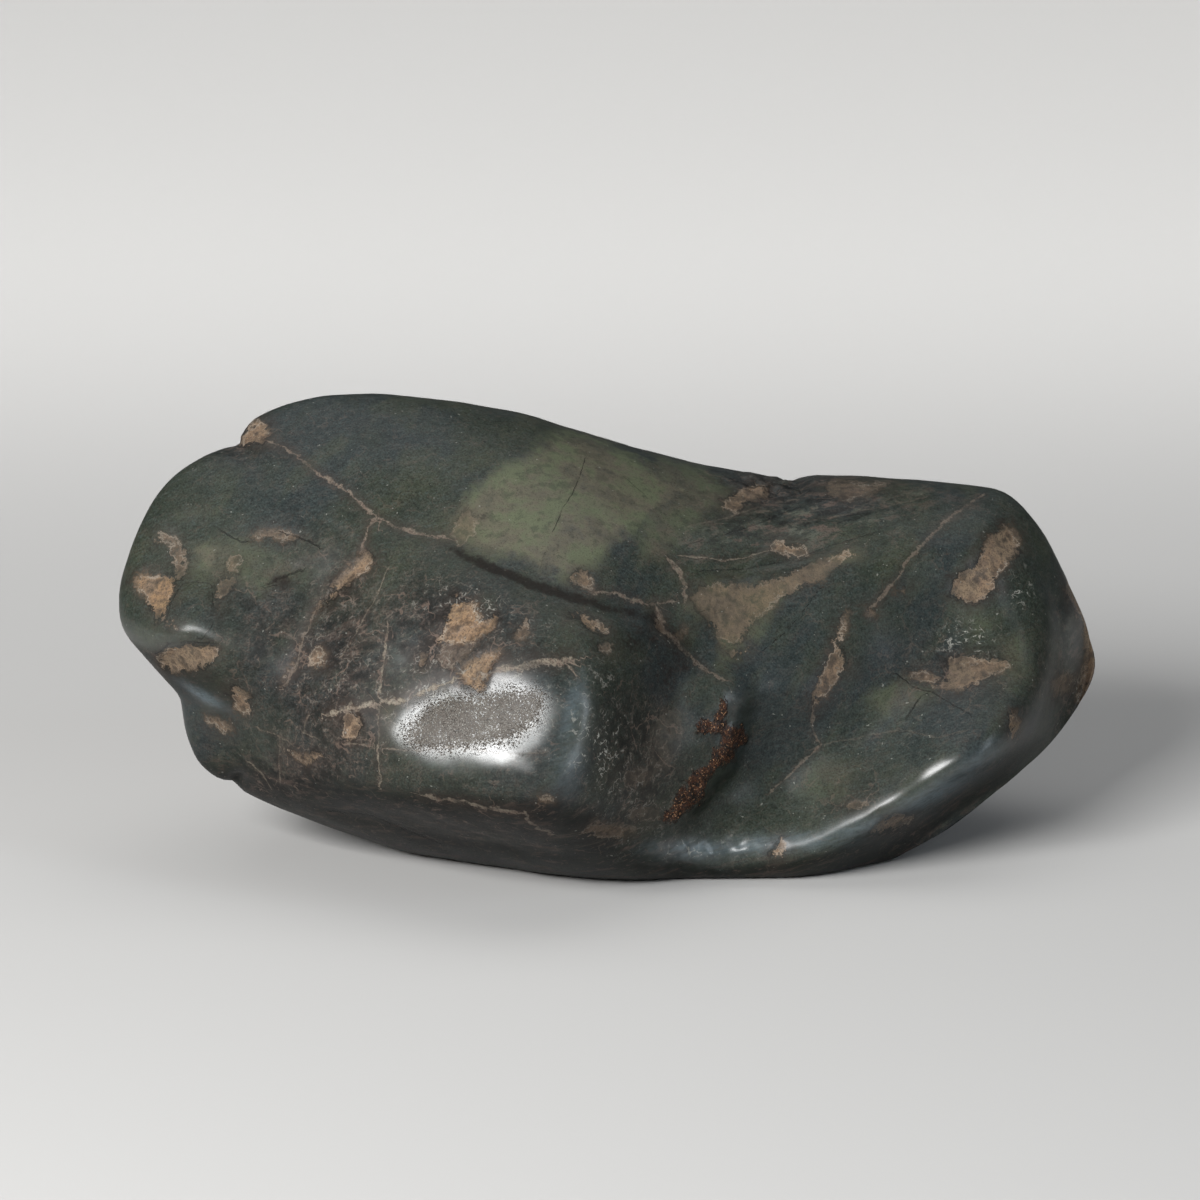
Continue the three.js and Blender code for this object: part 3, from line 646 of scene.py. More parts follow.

# %% [markdown]
# ## Soft regions
# Some changes have no edge at all: the ground turns browner, the layers show, or the polish fades.
# A soft oval does for these, strongest in the middle. Polish follows regions too, because hands and
# water don't reach every hollow alike, and along the glossiest ridges a faint bluish painted sheen
# stands in for the reflection there.

# %% Regions of the ground: x, z, half width, half height, turn, strength
BROWN_GROUND = [
    (109, 52, 4, 14, 10, 0.6), (-75, 48, 12, 16, 0, 0.6), (-59, 37, 16, 25, 0, 0.9),
    (-38, 48, 18, 14, -10, 1), (-29, 28, 27, 14, -5, 0.55), (-69, 18, 20, 9, 20, 0.9),
    (-29, 7, 34, 7, 0, 0.8), (7, 21, 12, 18, 0, 0.7), (41, 82, 20, 6, 5, 0.5), (77, 41, 14, 7, 0, 0.4),
    (68, 6, 18, 6, -25, 0.6), (-80, 91, 9, 4, 0, 0.5), (104, 37, 9, 14, 0, 0.5),
    (-59, 59, 14, 9, -40, 0.6),
]
FLECKS_AND_GLINTS = [
    (-2, 24, 6, 11, 10, 1), (-31, 55, 14, 4, -15, 0.6), (-40, 37, 16, 9, 0, 0.45),
    (93, 59, 3, 5, 0, 0.7), (81, 48, 6, 4, 0, 0.8), (-20, 34, 14, 9, 0, 0.4), (-2, 37, 4, 7, 0, 0.4),
    # The two ovals at x 19, z 1, where the lip begins, paint white crackle as painted glints of light; the
    # rest are real white flecks.
    (-60, 43, 9, 14, 0, 0.3), (19, 1, 11, 3, 0, 0.5), (7, 12, 7, 14, 0, 0.25), (19, 1, 8, 2, 0, 1),
]
LAYERED = [
    (43, 75, 29, 7, 12, 1), (-69, 14, 20, 4, -25, 0.7), (-11, 2, 40, 3, -3, 0.8),
    (73, 7, 18, 4, 30, 0.7), (105, 46, 5, 16, 0, 0.8), (-59, 48, 12, 14, 40, 0.4),
]
print(len(BROWN_GROUND + FLECKS_AND_GLINTS + LAYERED), "soft regions of the ground")

# %% Regions of the polish, the painted sheen, and the places of painted shade
GLOSSY = [
    (-7, 27, 4, 14, -12, 0.9), (72, 15, 21, 5, 29, 0.8), (54, 5, 16, 3, 12, 0.25),
    (21, 0, 14, 3, 0, 0.7), (-90, 35, 6, 3, -35, 1), (-42, 3, 25, 3, -14, 0.35),
    (-103, 48, 11, 6, 0, 0.9), (-95, 34, 9, 6, -40, 0.3), (27, 34, 6, 6, 0, 0.7),
    (105, 48, 4, 14, -15, 0.8), (-11, 21, 4, 7, 0, 0.5), (19, 1, 9, 3, 0, 0.8),
]
# Painted sheen: bluish paint along the lip and the glossiest ridges, standing in for their reflection.
PAINTED_SHEEN = [
    (37, 2, 18, 2, 4, 0.7), (19, 1, 9, 2, 0, 0.8), (59, 6, 11, 2, 14, 0.65), (73, 13, 11, 2, 28, 0.8),
    (83, 20, 8, 2, 36, 0.5), (-8, 32, 2, 8, -14, 0.6), (-9, 20, 4, 7, 0, 0.35), (-91, 35, 5, 1, -32, 1),
]
DIMMED = [
    (-52, 36, 6, 6, 0, 1), (-80, 37, 7, 9, 0, 0.5), (-67, 64, 16, 18, 30, 1), (-72, 46, 14, 14, 0, 1),
    (-83, 52, 11, 11, 0, 0.8), (21, 48, 11, 14, 0, 0.9), (-38, 50, 14, 11, 0, 0.6),
    (57, 72, 14, 4, -10, 0.6), (46, 18, 7, 5, -20, 1), (67, 59, 8, 11, 20, 0.9), (22, 56, 11, 8, 0, 0.8),
    (34, 42, 7, 7, 0, 0.6), (10, 84, 27, 10, -12, 0.6), (96, 57, 4, 11, 0, 0.6),
    (102, 37, 4, 20, 0, 0.6), (40, 42, 14, 11, 0, 0.4), (-18, 22, 6, 2, -25, 0.45),
    (-83, 19, 9, 9, 0, 0.5),
]
# Painted shade: the deepest spots of the hollows, and below them the way along the crease under the wall,
# are painted darker.
SHADED_HOLLOWS = [
    (-73, 61, 3, 2, -15, 0.8), (15, 42, 6, 10, -12, 0.5), (7, 48, 7, 5, 0, 0.45),
    (-59, 48, 4, 6, 40, 0.35),
]
CREASE_SHADE_WAY = Channel([
    (-37.5, 70, 0.2), (-31.5, 66, 0.8), (-24, 63, 1), (-15, 59.5, 1), (-7, 57, 0.9), (1, 54.5, 0.7),
    (9.5, 53, 0.6), (14.5, 48, 0.4), (18.5, 41.5, 0)], 1.6, 0.9)
# The hollows counted here get painted shade.
print(len(GLOSSY + PAINTED_SHEEN + DIMMED), "soft regions of the polish,", len(SHADED_HOLLOWS), "hollows of painted shade")

# %% [markdown]
# ## Measure the stone against its markings
# Now every point of the mesh is measured against every marking, as whole arrays. The front drawing
# fades out just past the rim, and the back has the same kinds of marking from its own sheet, laid
# the other way up.

# %% Helpers that measure, all in mm
PAST_RIM = 2  # front markings reach this far behind the rim
BACK_START = 3  # and those of the back begin here
LINE_FADE, SOFT_FADE = 3, 4  # ledges and soft ovals fade out over these behind the rim
BACK_SHEET_TOP = 96
FAR = 40  # no distance is kept beyond this
past_rim = np.where(facing, 0, np.maximum(behind, 0))
back_sheet = body[:, 0], BACK_SHEET_TOP - body[:, 2]


def areas(marks, on_back=True):
    """The distance to the nearest outline on either sheet, and which marking that is."""
    every = [np.maximum(outline_distance(across, up, m.points), past_rim - PAST_RIM)
             for m in marks.values()]
    if on_back:
        every += [np.maximum(outline_distance(*back_sheet, m.points), BACK_START - behind)
                  for m in marks.values()]
    return np.minimum(np.min(every, axis=0), FAR), np.argmin(every, axis=0) % len(marks)


def lines(marks):
    """For the nearest line on either sheet: signed distance and plain distance, both over its half
    width, and which line it is."""
    half = np.array([m.half_width for m in marks.values()] * 2)
    front_pairs = [line_distance(across, up, m.points) for m in marks.values()]
    back_pairs = [line_distance(*back_sheet, m.points) for m in marks.values()]
    plain = [np.maximum(pair[1], past_rim) for pair in front_pairs]
    plain += [np.maximum(pair[1], BACK_START - behind) for pair in back_pairs]
    nearest = (np.stack(plain) - half[:, None]).argmin(0)
    signed, plain = (np.take_along_axis(np.stack(rows), nearest[None], 0)[0]
                     for rows in ([pair[0] for pair in front_pairs + back_pairs], plain))
    return signed / half[nearest], np.minimum(plain, FAR) / half[nearest], nearest % len(marks)


def of_marks(marks, quality, which):
    """One quality, such as tone, of the marking that is nearest to each point."""
    return np.array([getattr(m, quality) for m in marks.values()])[which]


def soft_ovals(rows):
    """The strongest of several bells, faded out past the rim as e to the minus distance."""
    bells = [bell(across, up, Oval(x, z, (a, b), turn, strength)) for x, z, a, b, turn, strength in rows]
    return np.max(bells, axis=0) * np.exp(-past_rim / SOFT_FADE)


print("the back sheet reaches from", back_sheet[1].min().round(1), "to", back_sheet[1].max().round(1), "mm")

# %% Measure every point
tan_distance, tan_which = areas(INCLUSIONS)
tan_strength = of_marks(INCLUSIONS, "strength", tan_which)
crust_distance, _ = areas(CRUST, on_back=False)
pale_distance, pale_which = areas(PALE_PATCHES)
worn_distance, _ = areas(WORN_PATCHES)
vein_side, vein_near, vein_which = lines(VEINS)
crack_side, crack_near, crack_which = lines(CRACKS)
print("tan covers", round(100 * (tan_distance < 0).mean(), 1), "% of the points, pale green",
      round(100 * (pale_distance < 0).mean(), 1), "%")

# %% [markdown]
# ## Low relief
# Water wears soft minerals a little below the serpentine, and leaves the hard crust proud. Slow
# waves in the surface keep the polish from looking machined. All of this moves points along the
# surface's own normal.

# %% Waves, normals and a ramp


def waves(points, length, seed, count=20):
    """Smooth noise: the sum of cosines in random directions, with wavelengths near the given one."""
    rng = np.random.default_rng(seed)
    turn = rng.normal(size=(count, 3))
    turn *= (2 * np.pi / length / np.linalg.norm(turn, axis=1) * rng.uniform(0.7, 1.5, count))[:, None]
    return np.cos(points @ turn.T + rng.uniform(0, 2 * np.pi, count)).sum(1) * math.sqrt(2 / count)


def normals(points, quads):
    """Each point's normal: the sum of the cross products of the diagonals of the quads round it."""
    a, b, c, d = (points[quads[:, k]] for k in range(4))
    area = np.cross(c - a, d - b)
    total = np.zeros_like(points)
    for k in range(4):
        for axis in range(3):
            total[:, axis] += np.bincount(quads[:, k], area[:, axis], len(points))
    return total / np.linalg.norm(total, axis=1)[:, None]


def ramp(value, start, end):
    """0 before start, 1 after end, and a smooth S between: t squared times (3 - 2 t)."""
    t = np.clip((value - start) / (end - start), 0, 1)
    return t * t * (3 - 2 * t)


facing_out = normals(body, quads)
print("normals point out:", bool((facing_out * (body - body.mean(0))).sum(1).mean() > 0))

# %% How deep each thing is, in mm
RECESS = {
    "pit under the lobe": 1.1, "large one at the right": 0.8, "square": 0.5, "wedge in the trough": 0.5,
}
PLAIN_RECESS = 0.3
CRUST_RISE = 0.45
SWELL_HEIGHT, RIPPLE_HEIGHT = 0.05, 0.012
EDGE_START, SUNK_FULLY, RAISED_FULLY = -0.4, 0.8, 0.9  # from just outside an outline to well inside
FOOT_EASE = 2  # relief grows from none at the floor to full at this height
SMALL_LEDGES = [
    # three layers at the top of the slab
    Channel([(19, 73, 0), (28, 76, 0.5), (37, 79, 0.6), (44, 80, 0)], 4, 0.9),
    Channel([(40, 74, 0), (50, 76, 0.6), (60, 78, 0.6), (72, 80, 0)], 4, 0.9),
    Channel([(21, 63.5, 0), (30, 64, 0.6), (41, 66, 0.8), (50, 69.5, 0.7), (61, 72.5, 0)], 5, 1.2),
    # the foot of the belly, under the lobe, the pit's edge, and under the lip
    Channel([(-70, 12, 0), (-54, 7, 1.2), (-40, 3.5, 1.4), (-20, 0.5, 1), (0, -2, 0)], 5, 1.6),
    Channel([(-100, 37, 0), (-94, 34, 1.2), (-87, 31, 1.2), (-80, 28, 0)], 3.5, 2.5),
    Channel([(-101, 44.5, 0), (-98, 46.5, 0.9), (-94, 47.5, 1), (-88.5, 47.5, 0)], 0.9, 5),
    Channel([(60, 8, 0), (64, 6.5, 0.9), (70, 8.5, 0)], 2, 1.2),
    # two low ridges, so less than no depth: below the lobe, and where the lip begins
    Channel([(-95, 38, 0), (-92, 35.5, -0.7), (-89, 33.5, -0.7), (-86, 32, 0)], 1.2, 2.8),
    Channel([(8, 0, 0), (13, 1.2, -0.6), (19, 0.2, -0.5), (25, -0.6, -0.6), (31, -1.2, 0)], 1.2, 2.5),
]
PITS = [
    Oval(-83.7, 16.2, (2.1, 1.7), 20, 1.8), Oval(-91, 62, (0.8, 0.6), 0, 0.5),
    Oval(-88, 58.5, (1.1, 0.7), 60, 0.6), Oval(-71, 63.5, (1.6, 0.8), 20, 0.6),
    Oval(41, 63.5, (0.7, 0.6), 0, 0.4), Oval(94, 62, (0.8, 0.5), 30, 0.4),
    Oval(-1, 46.5, (1, 0.7), 0, 0.4), Oval(25, 30, (1.6, 1.2), 30, 0.7),
]
TONGUE = Oval(-92.5, 52, (5.5, 6.5), -10, 0.8)
ROUGH_PLACES = [Oval(37, 83, (9, 3), -5, 0.5), Oval(19, 0, (12, 3.5), 0, 0.3), Oval(92, 31, (3, 3), 0, 0.4)]
print(len(SMALL_LEDGES), "small ledges and", len(PITS), "pits")

# %% Lay the relief on
FACING_DOWN = (0.2, 0.65)  # how far a normal points down: the underside starts, and is complete
# How far the surface faces down: the underside is painted darker there as painted shade, and loses its
# coat.
under = ramp(-facing_out[:, 2], *FACING_DOWN)
on_front = np.where(facing, 1, np.exp(-past_rim / LINE_FADE))
recess_depth = np.array([RECESS.get(name, PLAIN_RECESS) for name in INCLUSIONS])
relief = SWELL_HEIGHT * waves(body, 13, 1) + RIPPLE_HEIGHT * waves(body, 5, 2)
relief -= tan_strength * recess_depth[tan_which] * ramp(-tan_distance, EDGE_START, SUNK_FULLY)
crust_grains = 1 + 0.5 * waves(body, 2.4, 3)
relief += CRUST_RISE * ramp(-crust_distance, EDGE_START, RAISED_FULLY) * crust_grains
relief -= on_front * sum(channel(across, up, ledge) for ledge in SMALL_LEDGES)
relief -= on_front * sum(bell(across, up, pit) for pit in PITS)
relief += on_front * bell(across, up, TONGUE)
relief += on_front * sum(bell(across, up, place) for place in ROUGH_PLACES) * waves(body, 3.5, 4)
standing = ramp(body[:, 2], 0, FOOT_EASE)
skin = body + facing_out * (relief * standing)[:, None]
skin[:, 2] = np.maximum(skin[:, 2], 0)
print("relief from", relief.min().round(2), "to", relief.max().round(2), "mm")

# %% [markdown]
# ## The mesh and what it carries
# foreach_set copies whole arrays into a mesh at once. Each distance goes along as an attribute, one
# number for each point, and the shader reads it by name. The stone is one piece, so it is one
# object: it rides on the part's only body and takes the place of its only node.

# %% What the mesh carries
ATTRIBUTES = {
    "tan": tan_distance,
    "tan_tone": of_marks(INCLUSIONS, "tone", tan_which),
    "tan_strength": tan_strength,
    "crust": crust_distance,
    "pale": pale_distance,
    "pale_strength": of_marks(PALE_PATCHES, "strength", pale_which),
    "worn": worn_distance,
    "vein": vein_side,
    "vein_near": vein_near,
    "vein_tone": of_marks(VEINS, "tone", vein_which),
    "vein_strength": of_marks(VEINS, "strength", vein_which),
    "crack": crack_side,
    "crack_near": crack_near,
    "crack_strength": of_marks(CRACKS, "strength", crack_which),
    "brown": soft_ovals(BROWN_GROUND),
    "flecks_and_glints": soft_ovals(FLECKS_AND_GLINTS),
    "layered": soft_ovals(LAYERED),
    "dimmed": soft_ovals(DIMMED),
    "glossy": soft_ovals(GLOSSY),
    # where a bluish painted reflection goes
    "painted_sheen": soft_ovals(PAINTED_SHEEN),
    "polished": areas(POLISHED, on_back=False)[0],
    # the underside, for its painted shade
    "under": under,
    # where the crease and the deepest hollows get painted shade
    "crease_shade": np.maximum(soft_ovals(SHADED_HOLLOWS), channel(across, up, CREASE_SHADE_WAY) * np.exp(-past_rim / LINE_FADE)),
}
print("each point carries", len(ATTRIBUTES), "numbers")

# %% Put the stone into a mesh


def mesh_of(name, points, quads):
    """A mesh straight from arrays: points in metres, and four corners to each face."""
    mesh = bpy.data.meshes.new(name)
    mesh.vertices.add(len(points))
    mesh.vertices.foreach_set("co", points.astype(np.float32).ravel())
    mesh.loops.add(quads.size)
    mesh.loops.foreach_set("vertex_index", quads.astype(np.int32).ravel())
    mesh.polygons.add(len(quads))
    mesh.polygons.foreach_set("loop_start", np.arange(0, quads.size, 4, dtype=np.int32))
    mesh.update(calc_edges=True)
    mesh.shade_smooth()
    return mesh


def in_scene(name, data):
    """A new object of this mesh, light or camera, linked into the scene."""
    new = bpy.data.objects.new(name, data)
    bpy.context.collection.objects.link(new)
    return new


stone_mesh = mesh_of("stone", (skin + SET_DOWN) * MM, quads)
for name, values in ATTRIBUTES.items():
    stone_mesh.attributes.new(name, "FLOAT", "POINT").data.foreach_set("value", values.astype(np.float32))
stone = in_scene("stone", stone_mesh)
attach(stone, "root")
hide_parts("serpentine_stone")
print("stone mesh:", len(stone_mesh.vertices), "points, clean:", not stone_mesh.validate())

# %% [markdown]
# ## The finish
# Serpentine polishes to a soft, slightly greasy gloss; its inclusions stay matt. The shader starts
# from the dark ground and lays each marking over it. Every edge is a measured distance plus a
# little noise, so it stays crisp and ragged at any size, where a painted texture would blur.

# %% A new material, and one way to add any node
serpentine = bpy.data.materials.new("serpentine")
serpentine.use_nodes = True
tree = serpentine.node_tree
tree.nodes.clear()


def add(kind, settings=None, **inputs):
    """A new node: its settings first, then the value or the link of each socket. A socket is named, with
    _ for a space, or given as i and its number."""
    new = tree.nodes.new("ShaderNode" + kind)
    for name, value in (settings or {}).items():
        setattr(new, name, value)
    for name, value in inputs.items():
        key = int(name[1:]) if name[1:].isdigit() else name.replace("_", " ")
        if isinstance(value, Wire):
            tree.links.new(value.socket, new.inputs[key])
        else:
            new.inputs[key].default_value = value
    return new


print("the", serpentine.name, "material starts with", len(tree.nodes), "nodes")

# %% [markdown]
# ## Shader maths as ordinary expressions
# Wiring Math nodes by hand is slow to write and hard to read. Wire holds one output socket and
# knows plus, minus and times, so that an expression such as 1 - mask builds its own nodes. Colours
# are mixed by a Mix node.

# %% Wire: an output socket that behaves like a number
class Wire:
    """An output socket that can be added, multiplied and so on like a number."""

    def __init__(self, socket):
        self.socket = socket

    def maths(self, operation, *others, reflected=False):
        """A Math node on this number and the others; reflected puts this one last."""
        values = (*others, self) if reflected else (self, *others)
        new = add("Math", {"operation": operation}, **{f"i{k}": value for k, value in enumerate(values)})
        return Wire(new.outputs[0])

    def __add__(self, other):
        return self.maths("ADD", other)

    def __sub__(self, other):
        return self.maths("SUBTRACT", other)

    def __mul__(self, other):
        return self.maths("MULTIPLY", other)

    def __rsub__(self, other):
        return self.maths("SUBTRACT", other, reflected=True)

    def __abs__(self):
        return self.maths("ABSOLUTE")

    __radd__, __rmul__ = __add__, __mul__

    def over(self, start, end):
        """0 before start, 1 after end, a smooth S between."""
        smooth = {"interpolation_type": "SMOOTHSTEP"}
        new = add("MapRange", smooth, Value=self, From_Min=start, From_Max=end)
        return Wire(new.outputs["Result"])

    def under(self, start, end):
        """1 before start, 0 after end."""
        return 1 - self.over(start, end)


print("a Wire offers", ", ".join(name for name in vars(Wire) if not name.startswith("__")))

# %% Colours, mixing, noise and attributes


def colour(red, green, blue):
    """A colour as a screen shows it, 0 to 255, made linear: ((c + 0.055) / 1.055) ^ 2.4."""
    return tuple(((c / 255 + 0.055) / 1.055)**2.4 for c in (red, green, blue)) + (1,)


def mix(share, first, second):
    """Share of the second colour over the first."""
    new = add("Mix", {"data_type": "RGBA"}, i0=share, i6=first, i7=second)
    return Wire(new.outputs[2])


def glaze(base, *coats):
    """Thin coats over a base, one after another: each is its share and its colour."""
    for share, coat in coats:
        base = mix(share, base, coat)
    return base


def noise(where, per_mm, detail=3, rough=0.5):
    """Cloudy noise, mostly between 0.3 and 0.7, with this many clouds to the millimetre."""
    new = add("TexNoise", None, Vector=where, Scale=per_mm, Detail=detail, Roughness=rough)
    return Wire(new.outputs["Fac"])


def measured(name):
    """A distance or strength that the mesh carries."""
    return Wire(add("Attribute", {"attribute_name": name}).outputs["Fac"])


print("a screen grey of 128 is", round(colour(128, 128, 128)[0], 3), "in linear light")

# %% [markdown]
# ## Grain
# Polished serpentine has grain at every size, from patches as wide as a thumb to specks like fine
# sand, and some of it is drawn out along the old layers. Each size is one noise, made once and used
# by all finishes. The net of old fractures is bent by a few millimetres of noise, so that its lines
# don't run straight.

# %% Stretched grain, and a net of old fractures
LAYER_TURN, BAND_TURN, DASH_TURN = math.radians(-17), math.radians(-52), math.radians(-33)


def stretched(where, turn, lengths):
    """The same place in a frame turned about the depth axis and stretched, for grain with a direction."""
    new = add("Mapping", {"vector_type": "TEXTURE"}, Vector=where, Rotation=(0, turn, 0), Scale=lengths)
    return Wire(new.outputs[0])


def fracture_net(where, per_mm):
    """Distance to the nearest wall between cells, in cells: the thin walls make a net."""
    new = add("TexVoronoi", {"feature": "DISTANCE_TO_EDGE"}, Vector=where, Scale=per_mm)
    return Wire(new.outputs["Distance"])


print("layers, bands and dashes are turned by",
      [round(math.degrees(turn)) for turn in (LAYER_TURN, BAND_TURN, DASH_TURN)], "degrees")

# %% Grain of all sizes
metres = Wire(add("TexCoord").outputs["Object"])
place = Wire(add("VectorMath", {"operation": "SCALE"}, i0=metres, Scale=1 / MM).outputs[0])
broad = noise(place, 0.035, 2)
mottle = noise(place, 0.13, 5, 0.6)
cloud = noise(place, 0.32, 4, 0.6)
grain = noise(place, 0.7, 4, 0.65)
fine = noise(place, 2.4, 3, 0.6)
streaks = noise(stretched(place, LAYER_TURN, (9, 2, 1)), 0.5, 4, 0.65)
fibres = noise(stretched(place, LAYER_TURN, (5, 1.5, 1)), 1.6, 3, 0.6)
dashes = noise(stretched(place, DASH_TURN, (3, 1.5, 1)), 1.3, 3, 0.6)
bands = noise(stretched(place, BAND_TURN, (4, 2, 1)), 0.14, 3, 0.5)
BEND = (7, 7, 7)  # mm
bend = add("TexNoise", None, Vector=place, Scale=0.25, Detail=3)
bend = Wire(bend.outputs["Color"])
bent = Wire(add("VectorMath", {"operation": "MULTIPLY_ADD"}, i0=bend, i1=BEND, i2=place).outputs[0])
fractures = fracture_net(bent, 0.13)
crackle = fracture_net(bent, 0.45)
print("grain made with", len(tree.nodes), "nodes")

# %% [markdown]
# ## The dark ground
# The ground is nearly black, between blue and green, and only its grain tells that it is stone. It
# is built up like a glaze: one thin coat over another, each let through by a noise. Brown ground,
# layers and the underside are the same ground with other coats on top; the underside, where normals
# point down, gets a coat of painted shade. Noise keeps mostly between 0.3 and 0.7, so over(0.5, 0.6)
# shows a coat in the upper half of a noise, with soft edges, and a factor behind it says how strongly.

# %% The dark ground: colours and regions
BLUE_BLACK, GREEN_BLACK, OLIVE = colour(38, 45, 45), colour(41, 47, 39), colour(58, 62, 46)
BROWN_BLACK, BROWN_GRAIN, SOOT = colour(40, 35, 33), colour(90, 76, 68), colour(12, 13, 12)
STEEL, DASH_GREY, LAYER_GREY = colour(66, 74, 72), colour(98, 90, 82), colour(84, 87, 76)
UNDER_BROWN = colour(70, 58, 52)
belly_top = (measured("polished") + (cloud - 0.5) * 3).under(-2, 2.2)
polished = (belly_top + measured("glossy")).over(0, 1)
brown = measured("brown") * mottle.over(0.25, 0.5) * (1 - polished)
under = measured("under")
layered = measured("layered")
print("the darkest colour of the ground reflects", round(100 * SOOT[1], 2), "% of green light")

# %% The dark ground: its layers
layer_colour = mix(mottle.over(0.4, 0.55), LAYER_GREY, BROWN_GRAIN)
ground = glaze(
    mix(broad.over(0.4, 0.6), BLUE_BLACK, GREEN_BLACK),
    (bands.over(0.48, 0.68) * 0.4, OLIVE),
    (fibres.over(0.48, 0.75) * 0.35, STEEL),
    (brown * 0.85, BROWN_BLACK),
    (grain.over(0.5, 0.66) * (0.1 + 0.25 * brown), BROWN_GRAIN),
    (crackle.under(0.03, 0.12) * cloud.over(0.45, 0.6) * (0.05 + 0.4 * brown), BROWN_GRAIN),
    (streaks.over(0.51, 0.61) * (0.06 + 0.75 * layered), layer_colour),
    (streaks.under(0.38, 0.47) * layered * 0.8, SOOT),
    (fine.under(0.36, 0.52) * 0.5, SOOT),
    (fine.over(0.54, 0.68) * 0.4, STEEL),
    (dashes.over(0.6, 0.68) * (0.12 + 0.5 * brown), DASH_GREY),
    (grain.under(0.3, 0.46) * 0.45, SOOT),
    (cloud.under(0.4, 0.52) * (0.1 + 0.6 * brown), SOOT),
    # painted shade: the underside darkened towards soot
    (under * 0.7, SOOT),
    (under * streaks.over(0.56, 0.64) * 0.45, UNDER_BROWN),
    (under * dashes.over(0.6, 0.66) * 0.6, UNDER_BROWN))
print("ground laid:", len(tree.nodes), "nodes")

# %% [markdown]
# ## Pale patches and painted sheen
# The pale green mineral has no firm edge: clouds of it thin out into the ground. So its distance is
# disturbed by coarse noise, and the step from none to full is several millimetres wide. A bluish
# coat along the lip and the glossiest ridges is a painted sheen, standing in for their reflection.

# %% Pale patches and painted sheen
PALE_GREEN, PALE_BROWN, PAINTED_SHEEN_BLUE = colour(88, 93, 72), colour(98, 92, 78), colour(96, 108, 114)
pale_edge = measured("pale") + (mottle - 0.5) * 10 + (cloud - 0.5) * 5 + (grain - 0.5) * 3
pale = pale_edge.under(-3, 2.5) * measured("pale_strength")
pale_colour = glaze(
    mix(mottle.over(0.4, 0.6), PALE_GREEN, PALE_BROWN),
    (fine.over(0.45, 0.7) * 0.35, OLIVE),
    (cloud.under(0.35, 0.5) * 0.45, GREEN_BLACK),
    (fine.under(0.36, 0.5) * 0.35, SOOT))
# The second coat is a painted sheen: a bluish painted reflection.
painted = glaze(
    ground,
    (pale * 0.85, pale_colour),
    (measured("painted_sheen") * (fibres.over(0.3, 0.6) * 0.35 + 0.4), PAINTED_SHEEN_BLUE))
print("pale patches laid:", len(tree.nodes), "nodes")

# %% [markdown]
# ## Tan inclusions
# Each inclusion has a brown halo where iron has seeped into the ground, a thin dark line round it,
# a paler rim just inside, and a matt, speckled heart. One ragged distance gives them all, at
# different widths, so they stay in step.

# %% Tan inclusions: colours and edges
HALO, GREY_BROWN, SPECK = colour(52, 43, 38), colour(78, 69, 63), colour(50, 41, 35)
TAN, ORANGE, PALE_LINE = colour(124, 104, 85), colour(144, 113, 81), colour(146, 138, 126)
tone, strength = measured("tan_tone"), measured("tan_strength")
ragged = (cloud - 0.5) * 4.5 + (grain - 0.5) * 3.5 + (fine - 0.5)
softness = noise(place, 0.09, 1).over(0.45, 0.66) + 0.3
halo = (measured("tan") + ragged + (mottle - 0.5) * 5).under(-1, 3.5) * strength
tan_edge = measured("tan") + ragged + 0.2
tan = tan_edge.under(0 - softness, softness) * strength * (0.3 + 0.7 * cloud.over(0.34, 0.54))
print("inclusions are edged with", len(tree.nodes), "nodes so far")

# %% Tan inclusions: the speckled heart
tan_colour = glaze(
    mix(tone.over(0, 0.5), GREY_BROWN, TAN),
    (tone.over(0.5, 0.9) * mottle.over(0.35, 0.6), ORANGE),
    (mottle.over(0.45, 0.6) * 0.4, PALE_BROWN),
    (grain.under(0.38, 0.54) * 0.5, GREY_BROWN),
    (cloud.over(0.55, 0.7) * 0.5, SPECK),
    (fine.over(0.52, 0.62) * 0.5, SPECK))
dark_line = abs(tan_edge - 0.45).under(0.1, 0.5) * strength * mottle.over(0.4, 0.55)
pale_line = abs(tan_edge + 0.3).under(0.05, 0.3) * strength * mottle.under(0.42, 0.55)
painted = glaze(
    painted,
    (halo * 0.6, HALO),
    (dark_line * 0.6, SOOT),
    (tan, tan_colour),
    (pale_line * 0.5, PALE_LINE))
print("inclusions laid:", len(tree.nodes), "nodes")

# %% [markdown]
# ## The rusty crust
# The crust is rough and granular: dark rust between brighter grains, with a few bright orange dots
# painted on as glints. It also stands up from the surface, as real relief in the mesh, so that it
# catches the light.

# %% The rusty crust on the spur
RUST, DARK_RUST, GLINT = colour(84, 52, 35), colour(34, 27, 24), colour(160, 120, 88)
crust_edge = measured("crust") + (cloud - 0.5) * 6 + (grain - 0.5) * 4
crust = crust_edge.under(-0.5, 0.5)
crust_colour = mix(grain.over(0.38, 0.6) * fine.over(0.35, 0.55), DARK_RUST, RUST)
# painted glints: bright orange dots on the grains
crust_colour = mix(noise(place, 2.2, 1).over(0.62, 0.68), crust_colour, GLINT)
painted = mix(crust * 0.9, painted, crust_colour)
print("crust laid:", len(tree.nodes), "nodes")

# %% [markdown]
# ## Veins, cracks and flecks
# A vein's distance is signed, so adding noise before taking its size makes the line wander. A
# second noise changes its breadth, and a third breaks it. The cells of a Voronoi texture give the
# net of old, healed fractures.

